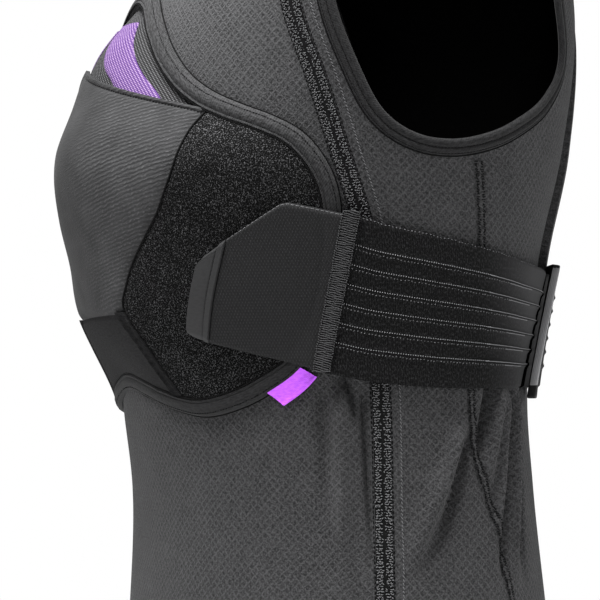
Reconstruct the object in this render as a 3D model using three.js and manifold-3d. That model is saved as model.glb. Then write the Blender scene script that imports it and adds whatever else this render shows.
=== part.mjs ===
// Chest and back protector: a sleeveless stretch vest with a padded chest pocket, a back pad
// and an elastic belt on each side that runs from a slider at the back to a hook tab in front.
// Millimetres, +Z up, chest towards -Y, wearer's left towards +X.
// z = 0 is the shoulder line beside the neck, where the vest sits.
// A place on the torso is a turn (degrees from the centre front towards the wearer's left),
// a height z, and a lift (distance out from the torso form).

import * as THREE from "three";
import { mergeVertices } from "three/addons/utils/BufferGeometryUtils.js";
import Module from "manifold-3d";

const wasm = await Module();
wasm.setup();

// Torso form, one row for each level.
const TORSO = [
  { z: -640, halfWidth: 169, front: 122, back: 113, frontSquare: 2.2, backSquare: 2.3 },
  { z: -530, halfWidth: 161, front: 120, back: 110, frontSquare: 2.2, backSquare: 2.3 },
  { z: -430, halfWidth: 149, front: 119.5, back: 102, frontSquare: 2.2, backSquare: 2.3 },
  { z: -385, halfWidth: 147, front: 126.5, back: 99, frontSquare: 2.1, backSquare: 2.3 },
  { z: -300, halfWidth: 154, front: 130, back: 106, frontSquare: 2.0, backSquare: 2.3 },
  { z: -235, halfWidth: 163, front: 134, back: 122, frontSquare: 1.95, backSquare: 2.3 },
  { z: -150, halfWidth: 171, front: 122, back: 129, frontSquare: 2.0, backSquare: 2.3 },
  { z: -85, halfWidth: 170, front: 92, back: 113, frontSquare: 2.0, backSquare: 2.2 },
  { z: -45, halfWidth: 154, front: 64, back: 84, frontSquare: 2.0, backSquare: 2.1 },
  { z: -20, halfWidth: 112, front: 48, back: 60, frontSquare: 2.0, backSquare: 2.0 },
  { z: 0, halfWidth: 78, front: 38, back: 46, frontSquare: 2.0, backSquare: 2.0 },
];

// Layers, as thicknesses and clearances.
const GAP = 0.35;
const VEST_WALL = 1.6;
const ON_VEST = VEST_WALL + GAP;
const COVER_GAP = 1.1;
const COVER_SIDE_GAP = 0.9;
const PAD_SEAT = VEST_WALL + 1.5;
const TRIM_SEAT = VEST_WALL + 0.8;
const SEAM_THICKNESS = 0.8;
const SEAM_CROWN = 0.2;
const BINDING_WIDTH = 11;
const BINDING_THICKNESS = 2.6;
const CUT_CLEARANCE = 0.7;
const CUT_LIFT_POWER = 4;
const EDGE_STEP = 0.002;
const HEM_TOP = -618;
const HEM_BOTTOM = -640;
const HEM_THICKNESS = 2.2;
const HEM_STEPS = 40;
const PANEL_GAP_TURN = 0.14;

// Levels of the vest's mesh rows, closer together over the shoulder.
const VEST_LEVELS = [
  -617.6, -565, -515, -478, -448, -422, -400, -380, -335, -285, -238, -194, -152, -118, -90, -66,
  -46, -30, -16, -6,
];

// Shares of a panel's width where its mesh columns lie, closer together where folds cross it.
const FRONT_COLUMNS = [0, 0.03, 0.06, 0.1, 0.17, 0.28, 0.39, 0.5, 0.61, 0.72, 0.83, 0.9, 0.94, 0.97, 1];
const BACK_COLUMNS = [
  0, 0.03, 0.06, 0.09, 0.12, 0.17, 0.28, 0.39, 0.5, 0.61, 0.72, 0.83, 0.88, 0.91, 0.94, 0.97, 1,
];
const SIDE_COLUMNS = [0, 0.14, 0.29, 0.43, 0.57, 0.71, 0.86, 1];

// Heights between which the panels' side edges leave the seams for the shoulder line.
const FRONT_SHOULDER = { from: -152, to: -90 };
const BACK_SHOULDER = { from: -200, to: -80 };
const SIDE_PANEL_TOP = -110;

// Seam lines between the vest panels.
const FRONT_SEAM = [
  { z: -618, turn: 74 }, { z: -530, turn: 76 }, { z: -445, turn: 77.6 }, { z: -372, turn: 77.2 },
  { z: -283, turn: 71 }, { z: -250, turn: 66 }, { z: -212, turn: 60.3 }, { z: -165, turn: 52.4 },
  { z: -130, turn: 49.5 },
];
const SIDE_SEAM = [
  { z: -618, turn: 116 }, { z: -530, turn: 113.5 }, { z: -447, turn: 106.8 }, { z: -420, turn: 102.2 },
  { z: -392, turn: 100.5 }, { z: -297, turn: 101 }, { z: -252, turn: 97.5 },
];
const FRONT_SEAM_WIDTH = 11;
const SIDE_SEAM_WIDTH = 6;
const FRONT_SEAM_TOP = -172;
const SIDE_SEAM_TOP = -258;

// Armhole edge on the wearer's left, counterclockwise seen from outside.
const ARMHOLE = [
  { turn: 90.5, z: -244 }, { turn: 100, z: -239 }, { turn: 108.5, z: -230 }, { turn: 119, z: -214 },
  { turn: 125.5, z: -192 }, { turn: 121.5, z: -160 }, { turn: 118.5, z: -115 }, { turn: 114, z: -75 },
  { turn: 104, z: -52 }, { turn: 90, z: -42 }, { turn: 77, z: -50 }, { turn: 67, z: -75 },
  { turn: 61, z: -115 }, { turn: 61.5, z: -160 }, { turn: 68.8, z: -205 }, { turn: 75, z: -230 },
  { turn: 82, z: -241 },
];
const NECK_SHOULDER_Z = -5;
const NECK_FRONT_DROP = 97;
const NECK_BACK_DROP = 26;
const NECK_ROUNDNESS = 1.6;

// Folds that the belts draw into the cloth below them, alike on both sides.
const FOLDS = [
  { fromTurn: 69, fromZ: -382, toTurn: 69, toZ: -470, halfWidth: 8, height: 4 },
  { fromTurn: 73, fromZ: -382, toTurn: 73, toZ: -450, halfWidth: 4, height: -2.5 },
  { fromTurn: 101, fromZ: -382, toTurn: 87, toZ: -520, halfWidth: 9, height: 4.5 },
  { fromTurn: 105, fromZ: -382, toTurn: 91, toZ: -520, halfWidth: 6, height: -3 },
  { fromTurn: 109, fromZ: -382, toTurn: 104, toZ: -440, halfWidth: 6, height: 3.5 },
  { fromTurn: 118, fromZ: -382, toTurn: 111, toZ: -510, halfWidth: 7, height: 5 },
  { fromTurn: 125, fromZ: -382, toTurn: 124, toZ: -510, halfWidth: 6, height: 4 },
];
const FOLD_ONSET = 0.15;
const FOLD_REACH_TURN = 4;
const MM_PER_DEGREE = 2.75;

// Chest pad: half outline of its binding, thickness at the crown and the covers on it.
const PAD_CENTRE_Z = -285;
const PAD_OUTLINE = [
  { turn: 0, z: -374 }, { turn: 10, z: -379 }, { turn: 19, z: -385 }, { turn: 28.5, z: -389 },
  { turn: 37.5, z: -385 }, { turn: 45, z: -377 }, { turn: 56, z: -362 }, { turn: 63, z: -340 },
  { turn: 66, z: -308 }, { turn: 65, z: -276 }, { turn: 63, z: -259 }, { turn: 58, z: -242 },
  { turn: 51.5, z: -232 }, { turn: 44, z: -224 }, { turn: 36.5, z: -215 }, { turn: 30, z: -204 },
  { turn: 23, z: -187 }, { turn: 16, z: -166 }, { turn: 9, z: -147 }, { turn: 0, z: -139 },
];
const PAD_CROWN = [
  { z: -400, crown: 10 }, { z: -376, crown: 16 }, { z: -350, crown: 24 }, { z: -326, crown: 31 },
  { z: -300, crown: 34 }, { z: -270, crown: 39 }, { z: -240, crown: 41 }, { z: -210, crown: 34 },
  { z: -180, crown: 31 }, { z: -139, crown: 17 },
];
const PAD_EDGE = 7.5;
const PAD_BINDING_WIDTH = 9;
const INSERT_INSET = PAD_BINDING_WIDTH + 0.8;
const PAD_STEPS = 44;
const PAD_COVER = 2;
const KEEL_FALL = 0.45;
const KEEL_SPAN = 60;
const KEEL_RADIUS = 4;
const RIM_POWER = 4;

// Edge between the middle panels and the loop patches, the rib panel's foot and its slanted mouth.
const FLANK_EDGE = [
  { z: -374, turn: 19 }, { z: -364, turn: 17.5 }, { z: -346, turn: 16.5 }, { z: -327, turn: 16 },
  { z: -308, turn: 23 }, { z: -291, turn: 27.5 }, { z: -274, turn: 30.5 }, { z: -259, turn: 33 },
  { z: -243, turn: 34.3 }, { z: -224, turn: 34.4 },
];
const RIB_FOOT_Z = -327;
const LOOP_PATCH = { fromAngle: -59, toAngle: 31, leastWidth: 1.2, rimGap: 1 };
const PAD_REACH = 200;
const MOUTH_CORNER = { turn: 34.2, z: -225 };
const MOUTH_TOP_Z = -186;
const MOUTH_POWER = 0.8;
const INSERT_BAND = { footTurn: 18.5, topTurn: 4.6, footHalf: 5.6, topHalf: 3.4, topZ: -163 };
const INSERT_BAND_SEAT = 0.9;
const INSERT_BAND_THICKNESS = 0.9;

// Hook tab and its pull end: turn and z of the lower and upper edges along its length.
const TAB = [
  { along: 0, lowTurn: 38.7, lowZ: -348.5, highTurn: 45, highZ: -295 },
  { along: 0.42, lowTurn: 48.4, lowZ: -356, highTurn: 54, highZ: -276 },
  { along: 0.5, lowTurn: 50.2, lowZ: -357.5, highTurn: 55.8, highZ: -275 },
  { along: 1, lowTurn: 63.3, lowZ: -367, highTurn: 68.9, highZ: -282.5 },
];
const TIP = [
  { along: 0, lowTurn: 33.9, lowZ: -340, highTurn: 38.4, highZ: -309 },
  { along: 0.25, lowTurn: 34.9, lowZ: -344.5, highTurn: 39.8, highZ: -304.5 },
  { along: 1, lowTurn: 38.5, lowZ: -348.3, highTurn: 44.8, highZ: -295.3 },
];
const TAB_THICKNESS = 2.2;
const TIP_THICKNESS = 1.8;
const STITCH_BAND = {
  lowTurn: 63.6, lowZ: -369, highTurn: 69.2, highZ: -282, halfTurn: 1.9, lift: 11.2, thickness: 1,
};

// Belt: edges and lift along its run; at the end it goes under the slider's front bar,
// up through the slot, over the rear bar and down to the back pad's edge.
const BELT = [
  { turn: 66.7, high: -283.5, low: -367.5, lift: 8.6 }, { turn: 69.5, high: -285.5, low: -369.5, lift: 8.2 },
  { turn: 74, high: -288, low: -372, lift: 6.2 }, { turn: 80, high: -290.5, low: -373, lift: 4.6 },
  { turn: 88, high: -294, low: -374.5, lift: 4.1 },
  { turn: 94.5, high: -297, low: -375, lift: 4.1 }, { turn: 101, high: -299.5, low: -375, lift: 4.1 },
  { turn: 111, high: -302.7, low: -375, lift: 3.9 },
  { turn: 121, high: -305.5, low: -375, lift: 3.8 },
  { turn: 130.3, high: -307, low: -374.5, lift: 3.5 }, { turn: 133.3, high: -307.5, low: -374.3, lift: 3.5 },
  { turn: 135.3, high: -307.6, low: -374.2, lift: 7.4 }, { turn: 137.1, high: -307.8, low: -374.1, lift: 12 },
  { turn: 140.3, high: -308, low: -374, lift: 12 }, { turn: 142.1, high: -308, low: -374, lift: 8 },
  { turn: 145.8, high: -308, low: -374, lift: 3.2 },
];
const BELT_SLANT_TURN = 5.6;
const BELT_SLANT_END = 80;
const BELT_THICKNESS = 2;
const RIB_HEIGHT = 0.6;
const RIB_COUNT = 6;
const FIRST_RIB = 0.19;
const RIB_PITCH = 0.124;

// Slider: a slot frame that lies along the surface.
const SLIDER = {
  turn: 135.2, z: -341, slotTurn: 4.6, slotLength: 70, barTurn: 2.4, endBar: 5, lift: 6.5, cornerPower: 0.25,
};
const SLIDER_THICKNESS = 5;
const SLIDER_LEAN_TURN = 12;
const LEAN_START = { from: 117, to: 130.3 };
const LEAN_END = { from: 140.3, to: 145.8 };

// Back pad: half outline measured from the centre back, and its outer lift.
const BACK_PAD_CENTRE_Z = -250;
const BACK_PAD_OUTLINE = [
  { turn: 0, z: -378 }, { turn: 18, z: -377 }, { turn: 27, z: -373 }, { turn: 32, z: -362 },
  { turn: 33.5, z: -342 }, { turn: 33.5, z: -300 }, { turn: 32.5, z: -240 }, { turn: 30, z: -185 },
  { turn: 25, z: -143 }, { turn: 14, z: -115 }, { turn: 0, z: -108 },
];
const BACK_PAD_LIFT = [
  { z: -378, lift: 7 }, { z: -345, lift: 9 }, { z: -300, lift: 10 }, { z: -240, lift: 9 },
  { z: -184, lift: 6.4 }, { z: -100, lift: 5.6 },
];
const BACK_PAD_EDGE_SHARE = 0.62;
const BACK_PAD_ROUNDING = 4;

// Loop tag sewn to the pad's binding on the wearer's left.
const TAG = { fromAngle: -33.3, toAngle: -24, depth: 11, thickness: 1 };

// Colours.
const KNIT = { color: 0x434345, roughness: 0.85, metalness: 0 };
const BINDING_CLOTH = { color: 0x3b3b3d, roughness: 0.8, metalness: 0 };
const RIB_KNIT = { color: 0x515153, roughness: 0.85, metalness: 0 };
const DARK_CLOTH = { color: 0x262628, roughness: 0.85, metalness: 0 };
const LOOP_PILE = { color: 0x161617, roughness: 1, metalness: 0 };
const ELASTIC = { color: 0x222224, roughness: 0.8, metalness: 0 };
const TAB_CLOTH = { color: 0x2e2e30, roughness: 0.7, metalness: 0 };
const THREAD = { color: 0x565658, roughness: 0.7, metalness: 0 };
const PLASTIC = { color: 0x2c2c2e, roughness: 0.5, metalness: 0 };
const PURPLE = { color: 0xb06be8, roughness: 0.8, metalness: 0 };

// Tables and small sums.

/** Value of a column of a table at a key, on a smooth curve through the rows. */
function smoothTable(rows, column, at, key = "z") {
  const last = rows.length - 1;
  const place = Math.min(Math.max(at, rows[0][key]), rows[last][key]);
  let i = 0;
  while (i < last - 1 && place > rows[i + 1][key]) i += 1;
  const step = (k) => rows[k + 1][key] - rows[k][key];
  const slope = (k) => {
    if (k === 0) return (rows[1][column] - rows[0][column]) / step(0);
    if (k === last) return (rows[last][column] - rows[last - 1][column]) / step(last - 1);
    const before = step(k - 1);
    const after = step(k);
    const rise = (rows[k + 1][column] - rows[k][column]) * before / after;
    const fall = (rows[k][column] - rows[k - 1][column]) * after / before;
    return (rise + fall) / (before + after);
  };
  const h = step(i);
  const t = (place - rows[i][key]) / h;
  const t2 = t * t;
  const t3 = t2 * t;
  return (2 * t3 - 3 * t2 + 1) * rows[i][column] + (t3 - 2 * t2 + t) * h * slope(i)
    + (3 * t2 - 2 * t3) * rows[i + 1][column] + (t3 - t2) * h * slope(i + 1);
}

/** Value of a column of a table at a key, on straight lines between the rows. */
function straightTable(rows, column, at, key) {
  let i = 0;
  while (i < rows.length - 2 && at > rows[i + 1][key]) i += 1;
  const share = (at - rows[i][key]) / (rows[i + 1][key] - rows[i][key]);
  return THREE.MathUtils.lerp(rows[i][column], rows[i + 1][column], share);
}

const lerp = THREE.MathUtils.lerp;
const smoothstep = THREE.MathUtils.smoothstep;
const signedPower = (value, power) => Math.sign(value) * Math.abs(value) ** power;

// The torso form and the cloth on it.

/** Point of the torso form. */
function torsoPoint(turn, z) {
  const angle = THREE.MathUtils.degToRad(turn);
  const ahead = Math.cos(angle) > 0;
  const power = 2 / smoothTable(TORSO, ahead ? "frontSquare" : "backSquare", z);
  const depth = smoothTable(TORSO, ahead ? "front" : "back", z);
  const x = smoothTable(TORSO, "halfWidth", z) * signedPower(Math.sin(angle), power);
  return new THREE.Vector3(x, -depth * signedPower(Math.cos(angle), power), z);
}

/** Outward normal of the torso form. */
function torsoNormal(turn, z) {
  const around = torsoPoint(turn + 0.5, z).sub(torsoPoint(turn - 0.5, z));
  const upwards = torsoPoint(turn, z + 1).sub(torsoPoint(turn, z - 1));
  return around.cross(upwards).normalize();
}

/** How far the folds push the cloth out at a place. */
function foldRelief(turn, z) {
  const side = Math.abs(turn) > 180 ? 360 - Math.abs(turn) : Math.abs(turn);
  let relief = 0;
  for (const fold of FOLDS) {
    const along = (fold.fromZ - z) / (fold.fromZ - fold.toZ);
    if (along <= 0 || along >= 1) continue;
    const across = (side - lerp(fold.fromTurn, fold.toTurn, along)) * MM_PER_DEGREE / fold.halfWidth;
    const fade = smoothstep(along, 0, FOLD_ONSET) * (1 - smoothstep(along, FOLD_ONSET, 1));
    relief += fold.height * Math.exp(-across * across) * fade;
  }
  return relief;
}

/** Largest push of the folds a little way to either side of a place. */
function highestRelief(turn, z) {
  const shares = [-1, -0.5, 0, 0.5, 1];
  return Math.max(0, ...shares.map((share) => foldRelief(turn + share * FOLD_REACH_TURN, z)));
}

/** Point at a lift above the torso form. */
function onTorso(turn, z, lift) {
  return torsoPoint(turn, z).addScaledVector(torsoNormal(turn, z), lift);
}

/** Point at a lift above the torso form, moved with the cloth's folds. */
function onVest(turn, z, lift) {
  return onTorso(turn, z, lift + foldRelief(turn, z));
}

// Bent forms: a box, a ring or a disc whose vertices are carried to their places.

/** Strips a geometry to its positions and joins the vertices that coincide. */
function welded(geometry) {
  geometry.deleteAttribute("normal");
  geometry.deleteAttribute("uv");
  return mergeVertices(geometry, 1e-3);
}

/** Slab: place(u, v, t) gives the point for a share along, a share up and a share outward. */
function bentBox(columns, rows, place) {
  const geometry = welded(new THREE.BoxGeometry(1, 1, 1, columns, rows, 1));
  const position = geometry.getAttribute("position");
  for (let i = 0; i < position.count; i += 1) {
    const point = place(position.getX(i) + 0.5, position.getY(i) + 0.5, position.getZ(i) + 0.5);
    position.setXYZ(i, point.x, point.y, point.z);
  }
  return geometry;
}

/** Closed ring: place(s, corner) gives the point for a share along and a corner of the section. */
function bentRing(steps, corners, place) {
  const geometry = new THREE.TorusGeometry(1, 0.4, corners, steps);
  const position = geometry.getAttribute("position");
  for (let j = 0; j <= corners; j += 1) {
    for (let i = 0; i <= steps; i += 1) {
      const point = place((i % steps) / steps, j % corners);
      position.setXYZ(j * (steps + 1) + i, point.x, point.y, point.z);
    }
  }
  return welded(geometry);
}

/** Flat pillow: place(angle, radius share, top) gives the point of a spoke and ring. */
function bentDisc(spokes, rings, place) {
  const levels = 2 * rings + 1;
  const geometry = new THREE.SphereGeometry(1, spokes, levels);
  const position = geometry.getAttribute("position");
  for (let level = 0; level <= levels; level += 1) {
    const top = level <= rings;
    const share = (top ? level : levels - level) / rings;
    for (let spoke = 0; spoke <= spokes; spoke += 1) {
      const angle = (spoke % spokes) / spokes * 2 * Math.PI - Math.PI;
      const point = place(angle, share, top);
      position.setXYZ(level * (spokes + 1) + spoke, point.x, point.y, point.z);
    }
  }
  return welded(geometry);
}

/** Mirror image across the vest's middle plane, with its faces still pointing out. */
function mirrored(geometry) {
  const copy = geometry.clone();
  const position = copy.getAttribute("position");
  for (let i = 0; i < position.count; i += 1) position.setX(i, -position.getX(i));
  const index = copy.getIndex();
  for (let i = 0; i < index.count; i += 3) {
    const second = index.getX(i + 1);
    index.setX(i + 1, index.getX(i + 2));
    index.setX(i + 2, second);
  }
  return copy;
}

/** Solid of a closed geometry, for cutting. */
function toSolid(geometry) {
  const vertProperties = Float32Array.from(geometry.getAttribute("position").array);
  const triVerts = Uint32Array.from(geometry.getIndex().array);
  return new wasm.Manifold(new wasm.Mesh({ numProp: 3, vertProperties, triVerts }));
}

/** Geometry of a solid. */
function toGeometry(solid) {
  const mesh = solid.getMesh();
  const geometry = new THREE.BufferGeometry();
  geometry.setAttribute("position", new THREE.BufferAttribute(Float32Array.from(mesh.vertProperties), 3));
  geometry.setIndex(new THREE.BufferAttribute(Uint32Array.from(mesh.triVerts), 1));
  return geometry;
}

/** Geometry with other geometries cut away from it. */
function cut(geometry, cutters) {
  let solid = toSolid(geometry);
  for (const cutter of cutters) solid = solid.subtract(toSolid(cutter));
  return toGeometry(solid);
}

// Edge bindings of the armholes and the neck.

/** Frame of an edge path on the torso: the point, the normal and the way across from the opening. */
function edgeFrame(path, share) {
  const wrap = (value) => ((value % 1) + 1) % 1;
  const here = path(wrap(share));
  const ahead = path(wrap(share + EDGE_STEP));
  const behind = path(wrap(share - EDGE_STEP));
  const point = torsoPoint(here.turn, here.z);
  const normal = torsoNormal(here.turn, here.z);
  const along = torsoPoint(ahead.turn, ahead.z).sub(torsoPoint(behind.turn, behind.z)).normalize();
  return { point, normal, across: along.cross(normal).normalize() };
}

/** Binding tape along an edge path. */
function edgeBinding(path, steps) {
  const section = [
    { across: BINDING_WIDTH, out: 0 }, { across: BINDING_WIDTH, out: BINDING_THICKNESS },
    { across: 0, out: BINDING_THICKNESS }, { across: 0, out: 0 },
  ];
  return bentRing(steps, section.length, (share, corner) => {
    const { point, normal, across } = edgeFrame(path, share);
    return point.addScaledVector(across, section[corner].across).addScaledVector(normal, section[corner].out);
  });
}

/** Points along the outer side of a binding, with clearance, where the panels are cut. */
function cutLine(path, steps, liftAt, fromShare = 0, toShare = 1) {
  const points = [];
  for (let i = 0; i <= steps; i += 1) {
    const share = lerp(fromShare, toShare, i / steps);
    const { point, normal, across } = edgeFrame(path, share);
    points.push(point.addScaledVector(across, BINDING_WIDTH + CUT_CLEARANCE).addScaledVector(normal, liftAt(share)));
  }
  return points;
}

const armholeCurve = new THREE.CatmullRomCurve3(
  ARMHOLE.map(({ turn, z }) => new THREE.Vector3(turn * MM_PER_DEGREE, z, 0)), true, "centripetal",
);

/** Place on the armhole edge at a share of its way round. */
function armholePath(share) {
  const point = armholeCurve.getPointAt(share);
  return { turn: point.x / MM_PER_DEGREE, z: point.y };
}

/** Place on the neck edge at a share of its way round, from the centre front. */
function neckPath(share) {
  const angle = share * 2 * Math.PI;
  const drop = Math.cos(angle) > 0 ? NECK_FRONT_DROP : NECK_BACK_DROP;
  const z = NECK_SHOULDER_Z - drop * Math.abs(Math.cos(angle)) ** NECK_ROUNDNESS;
  const half = smoothTable(TORSO, "halfWidth", NECK_SHOULDER_Z) / smoothTable(TORSO, "halfWidth", z);
  const square = smoothTable(TORSO, Math.cos(angle) > 0 ? "frontSquare" : "backSquare", z);
  const sine = signedPower(half * Math.sin(angle), square / 2);
  const turn = THREE.MathUtils.radToDeg(Math.asin(THREE.MathUtils.clamp(sine, -1, 1)));
  if (Math.cos(angle) > 0) return { turn, z };
  return { turn: 180 - turn, z };
}

const ARMHOLE_STEPS = 40;
const NECK_STEPS = 40;
const CUT_REACH = 260;
const CUT_TOP_Z = 60;

/** Prism through the armhole on one side (+1 left, -1 right). */
function armholeCutter(side) {
  const outline = cutLine(armholePath, ARMHOLE_STEPS, () => ON_VEST).slice(0, ARMHOLE_STEPS);
  const shape = new THREE.Shape(outline.map((point) => new THREE.Vector2(point.y, point.z)));
  const prism = new THREE.ExtrudeGeometry(shape, { depth: CUT_REACH, bevelEnabled: false });
  prism.rotateX(Math.PI / 2).rotateZ(Math.PI / 2);
  const geometry = welded(prism);
  return side > 0 ? geometry : mirrored(geometry);
}

/** Prism through the neck opening, in front (-1) or at the back (+1). */
function neckCutter(side) {
  const from = side < 0 ? -0.25 : 0.25;
  const liftAt = (share) => ON_VEST * Math.sin(share * 2 * Math.PI) ** CUT_LIFT_POWER;
  const line = cutLine(neckPath, NECK_STEPS, liftAt, from, from + 0.5);
  const outline = line.map((point) => new THREE.Vector2(point.x, point.z));
  const first = outline[0];
  const final = outline[outline.length - 1];
  outline.push(new THREE.Vector2(final.x, CUT_TOP_Z), new THREE.Vector2(first.x, CUT_TOP_Z));
  const prism = new THREE.ExtrudeGeometry(new THREE.Shape(outline), { depth: CUT_REACH, bevelEnabled: false });
  prism.rotateX(Math.PI / 2);
  if (side > 0) prism.translate(0, CUT_REACH, 0);
  return welded(prism);
}

// Vest panels.

/** Panel between two seam lines, given as turns at a height, over the vest's levels. */
function vestPanel(fromTurn, toTurn, shares, levels) {
  const columns = shares.length - 1;
  const rows = levels.length - 1;
  return bentBox(columns, rows, (u, v, t) => {
    const z = levels[Math.round(v * rows)];
    const share = shares[Math.round(u * columns)];
    return onVest(lerp(fromTurn(z), toTurn(z), share), z, t * VEST_WALL);
  });
}

const frontSeamTurn = (z) => smoothTable(FRONT_SEAM, "turn", z);
const sideSeamTurn = (z) => smoothTable(SIDE_SEAM, "turn", z);

/** Front panel's side edge: the front seam, then the shoulder line above the armhole. */
function frontPanelEdge(z) {
  const share = smoothstep(z, FRONT_SHOULDER.from, FRONT_SHOULDER.to);
  return lerp(frontSeamTurn(z), 90, share) - PANEL_GAP_TURN;
}

/** Back panel's side edge: the side seam, then the shoulder line above the armhole. */
function backPanelEdge(z) {
  const share = smoothstep(z, BACK_SHOULDER.from, BACK_SHOULDER.to);
  return lerp(sideSeamTurn(z), 90, share) + PANEL_GAP_TURN;
}

function frontPanel() {
  const panel = vestPanel((z) => -frontPanelEdge(z), frontPanelEdge, FRONT_COLUMNS, VEST_LEVELS);
  return cut(panel, [armholeCutter(1), armholeCutter(-1), neckCutter(-1)]);
}

function backPanel() {
  const panel = vestPanel(backPanelEdge, (z) => 360 - backPanelEdge(z), BACK_COLUMNS, VEST_LEVELS);
  return cut(panel, [armholeCutter(1), armholeCutter(-1), neckCutter(1)]);
}

function sidePanel() {
  const levels = VEST_LEVELS.filter((z) => z < SIDE_PANEL_TOP);
  const from = (z) => frontPanelEdge(z) + 2 * PANEL_GAP_TURN;
  const to = (z) => sideSeamTurn(z) - PANEL_GAP_TURN;
  return cut(vestPanel(from, to, SIDE_COLUMNS, levels), [armholeCutter(1)]);
}

/** Sewn band over a seam, raised along its middle, on the same levels as the panels. */
function seamBand(seamTurn, width, topZ) {
  const between = VEST_LEVELS.filter((z) => z > HEM_TOP + 1 && z < topZ - 1);
  const levels = [HEM_TOP + GAP, ...between, topZ];
  const rows = levels.length - 1;
  return bentBox(2, rows, (u, v, t) => {
    const z = levels[Math.round(v * rows)];
    const turn = seamTurn(z) + (u - 0.5) * width / MM_PER_DEGREE;
    const crown = u === 0.5 ? SEAM_CROWN : 0;
    return onTorso(turn, z, TRIM_SEAT + highestRelief(turn, z) + t * (SEAM_THICKNESS + crown));
  });
}

function hemBand() {
  const section = [
    { z: HEM_BOTTOM, lift: HEM_THICKNESS }, { z: HEM_TOP, lift: HEM_THICKNESS },
    { z: HEM_TOP, lift: 0 }, { z: HEM_BOTTOM, lift: 0 },
  ];
  return bentRing(HEM_STEPS, section.length, (share, corner) => {
    const { z, lift } = section[corner];
    return onTorso(share * 360, z, lift);
  });
}

// Chest pad.

const padHalf = PAD_OUTLINE.map(({ turn, z }) => new THREE.Vector3(turn * MM_PER_DEGREE, z - PAD_CENTRE_Z, 0));
const padOtherHalf = padHalf.slice(1, -1).reverse().map((point) => new THREE.Vector3(-point.x, point.y, 0));
const padCurve = new THREE.CatmullRomCurve3([...padHalf, ...padOtherHalf], true, "centripetal");

const OUTLINE_SAMPLES = 1440;

/** Closed outline as radii from a centre, one for each degree. */
function radiiOf(curve) {
  const samples = curve.getPoints(OUTLINE_SAMPLES).map((point) => ({
    angle: THREE.MathUtils.radToDeg(Math.atan2(point.y, point.x)), radius: Math.hypot(point.x, point.y),
  }));
  samples.sort((a, b) => a.angle - b.angle);
  const wrapped = [
    { ...samples[samples.length - 1], angle: samples[samples.length - 1].angle - 360 },
    ...samples,
    { ...samples[0], angle: samples[0].angle + 360 },
  ];
  const radii = [];
  for (let degree = -180; degree <= 180; degree += 1) {
    radii.push(straightTable(wrapped, "radius", degree, "angle"));
  }
  return radii;
}

/** Radius of such an outline in a direction, moved in from its edge by an inset. */
function radiusAt(radii, angle, inset = 0) {
  const degree = THREE.MathUtils.euclideanModulo(THREE.MathUtils.radToDeg(angle) + 180, 360);
  const i = Math.floor(degree);
  const share = degree - i;
  const radius = lerp(radii[i], radii[(i + 1) % 360], share);
  const before = radii[(i + 358) % 360];
  const after = radii[(i + 3) % 360];
  const slope = (after - before) / THREE.MathUtils.degToRad(5) / radius;
  return radius - inset * Math.hypot(1, slope);
}

const padRadii = radiiOf(padCurve);

/** Lift of the pad's outer face. */
function padLift(turn, z) {
  const x = turn * MM_PER_DEGREE;
  const up = z - PAD_CENTRE_Z;
  const rim = radiusAt(padRadii, Math.atan2(up, x), INSERT_INSET);
  const share = Math.min(Math.hypot(x, up) / rim, 1);
  const keel = (Math.hypot(turn, KEEL_RADIUS) - KEEL_RADIUS) / KEEL_SPAN;
  const crown = smoothTable(PAD_CROWN, "crown", z) * (1 - KEEL_FALL * Math.min(keel, 1));
  return PAD_EDGE + (crown - PAD_EDGE) * (1 - share ** RIM_POWER);
}

/** Place on the torso of a point of the pad given by its direction and radius. */
function padPlace(angle, radius) {
  return { turn: radius * Math.cos(angle) / MM_PER_DEGREE, z: PAD_CENTRE_Z + radius * Math.sin(angle) };
}

/** Lift of the insert's outer face, under the covers. */
function insertLift(turn, z) {
  return padLift(turn, z) - PAD_COVER - COVER_GAP;
}

/** Insert: the pad itself, from the vest up to just under its covers. */
function chestInsert() {
  return bentDisc(PAD_STEPS, 6, (angle, share, top) => {
    const { turn, z } = padPlace(angle, share * radiusAt(padRadii, angle, INSERT_INSET));
    return onTorso(turn, z, top ? insertLift(turn, z) : PAD_SEAT);
  });
}

/** Binding round the pad. */
function padBinding() {
  const section = [
    { inset: 0, lift: PAD_SEAT }, { inset: 1.5, lift: PAD_EDGE - 1 }, { inset: PAD_BINDING_WIDTH / 2, lift: PAD_EDGE },
    { inset: PAD_BINDING_WIDTH, lift: PAD_EDGE - 1 }, { inset: PAD_BINDING_WIDTH, lift: PAD_SEAT },
  ];
  return bentRing(PAD_STEPS, section.length, (share, corner) => {
    const angle = share * 2 * Math.PI - Math.PI;
    const { turn, z } = padPlace(angle, radiusAt(padRadii, angle, section[corner].inset));
    return onTorso(turn, z, section[corner].lift);
  });
}

const flankTurn = (z) => smoothTable(FLANK_EDGE, "turn", z);
const HALF_GAP_TURN = COVER_SIDE_GAP / 2 / MM_PER_DEGREE;

/** Height of the pocket's slanted mouth. */
function mouthZ(turn) {
  const share = Math.min(Math.abs(turn) / MOUTH_CORNER.turn, 1) ** MOUTH_POWER;
  return lerp(MOUTH_TOP_Z, MOUTH_CORNER.z, share);
}

/** Lowest height just inside the pad's binding at a turn. */
function padFloorZ(turn) {
  const x = turn * MM_PER_DEGREE;
  let inside = PAD_CENTRE_Z;
  let outside = PAD_CENTRE_Z - PAD_REACH;
  for (let round = 0; round < 30; round += 1) {
    const z = (inside + outside) / 2;
    const rim = radiusAt(padRadii, Math.atan2(z - PAD_CENTRE_Z, x), INSERT_INSET + GAP);
    if (Math.hypot(x, z - PAD_CENTRE_Z) < rim) inside = z;
    else outside = z;
  }
  return inside;
}

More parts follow.
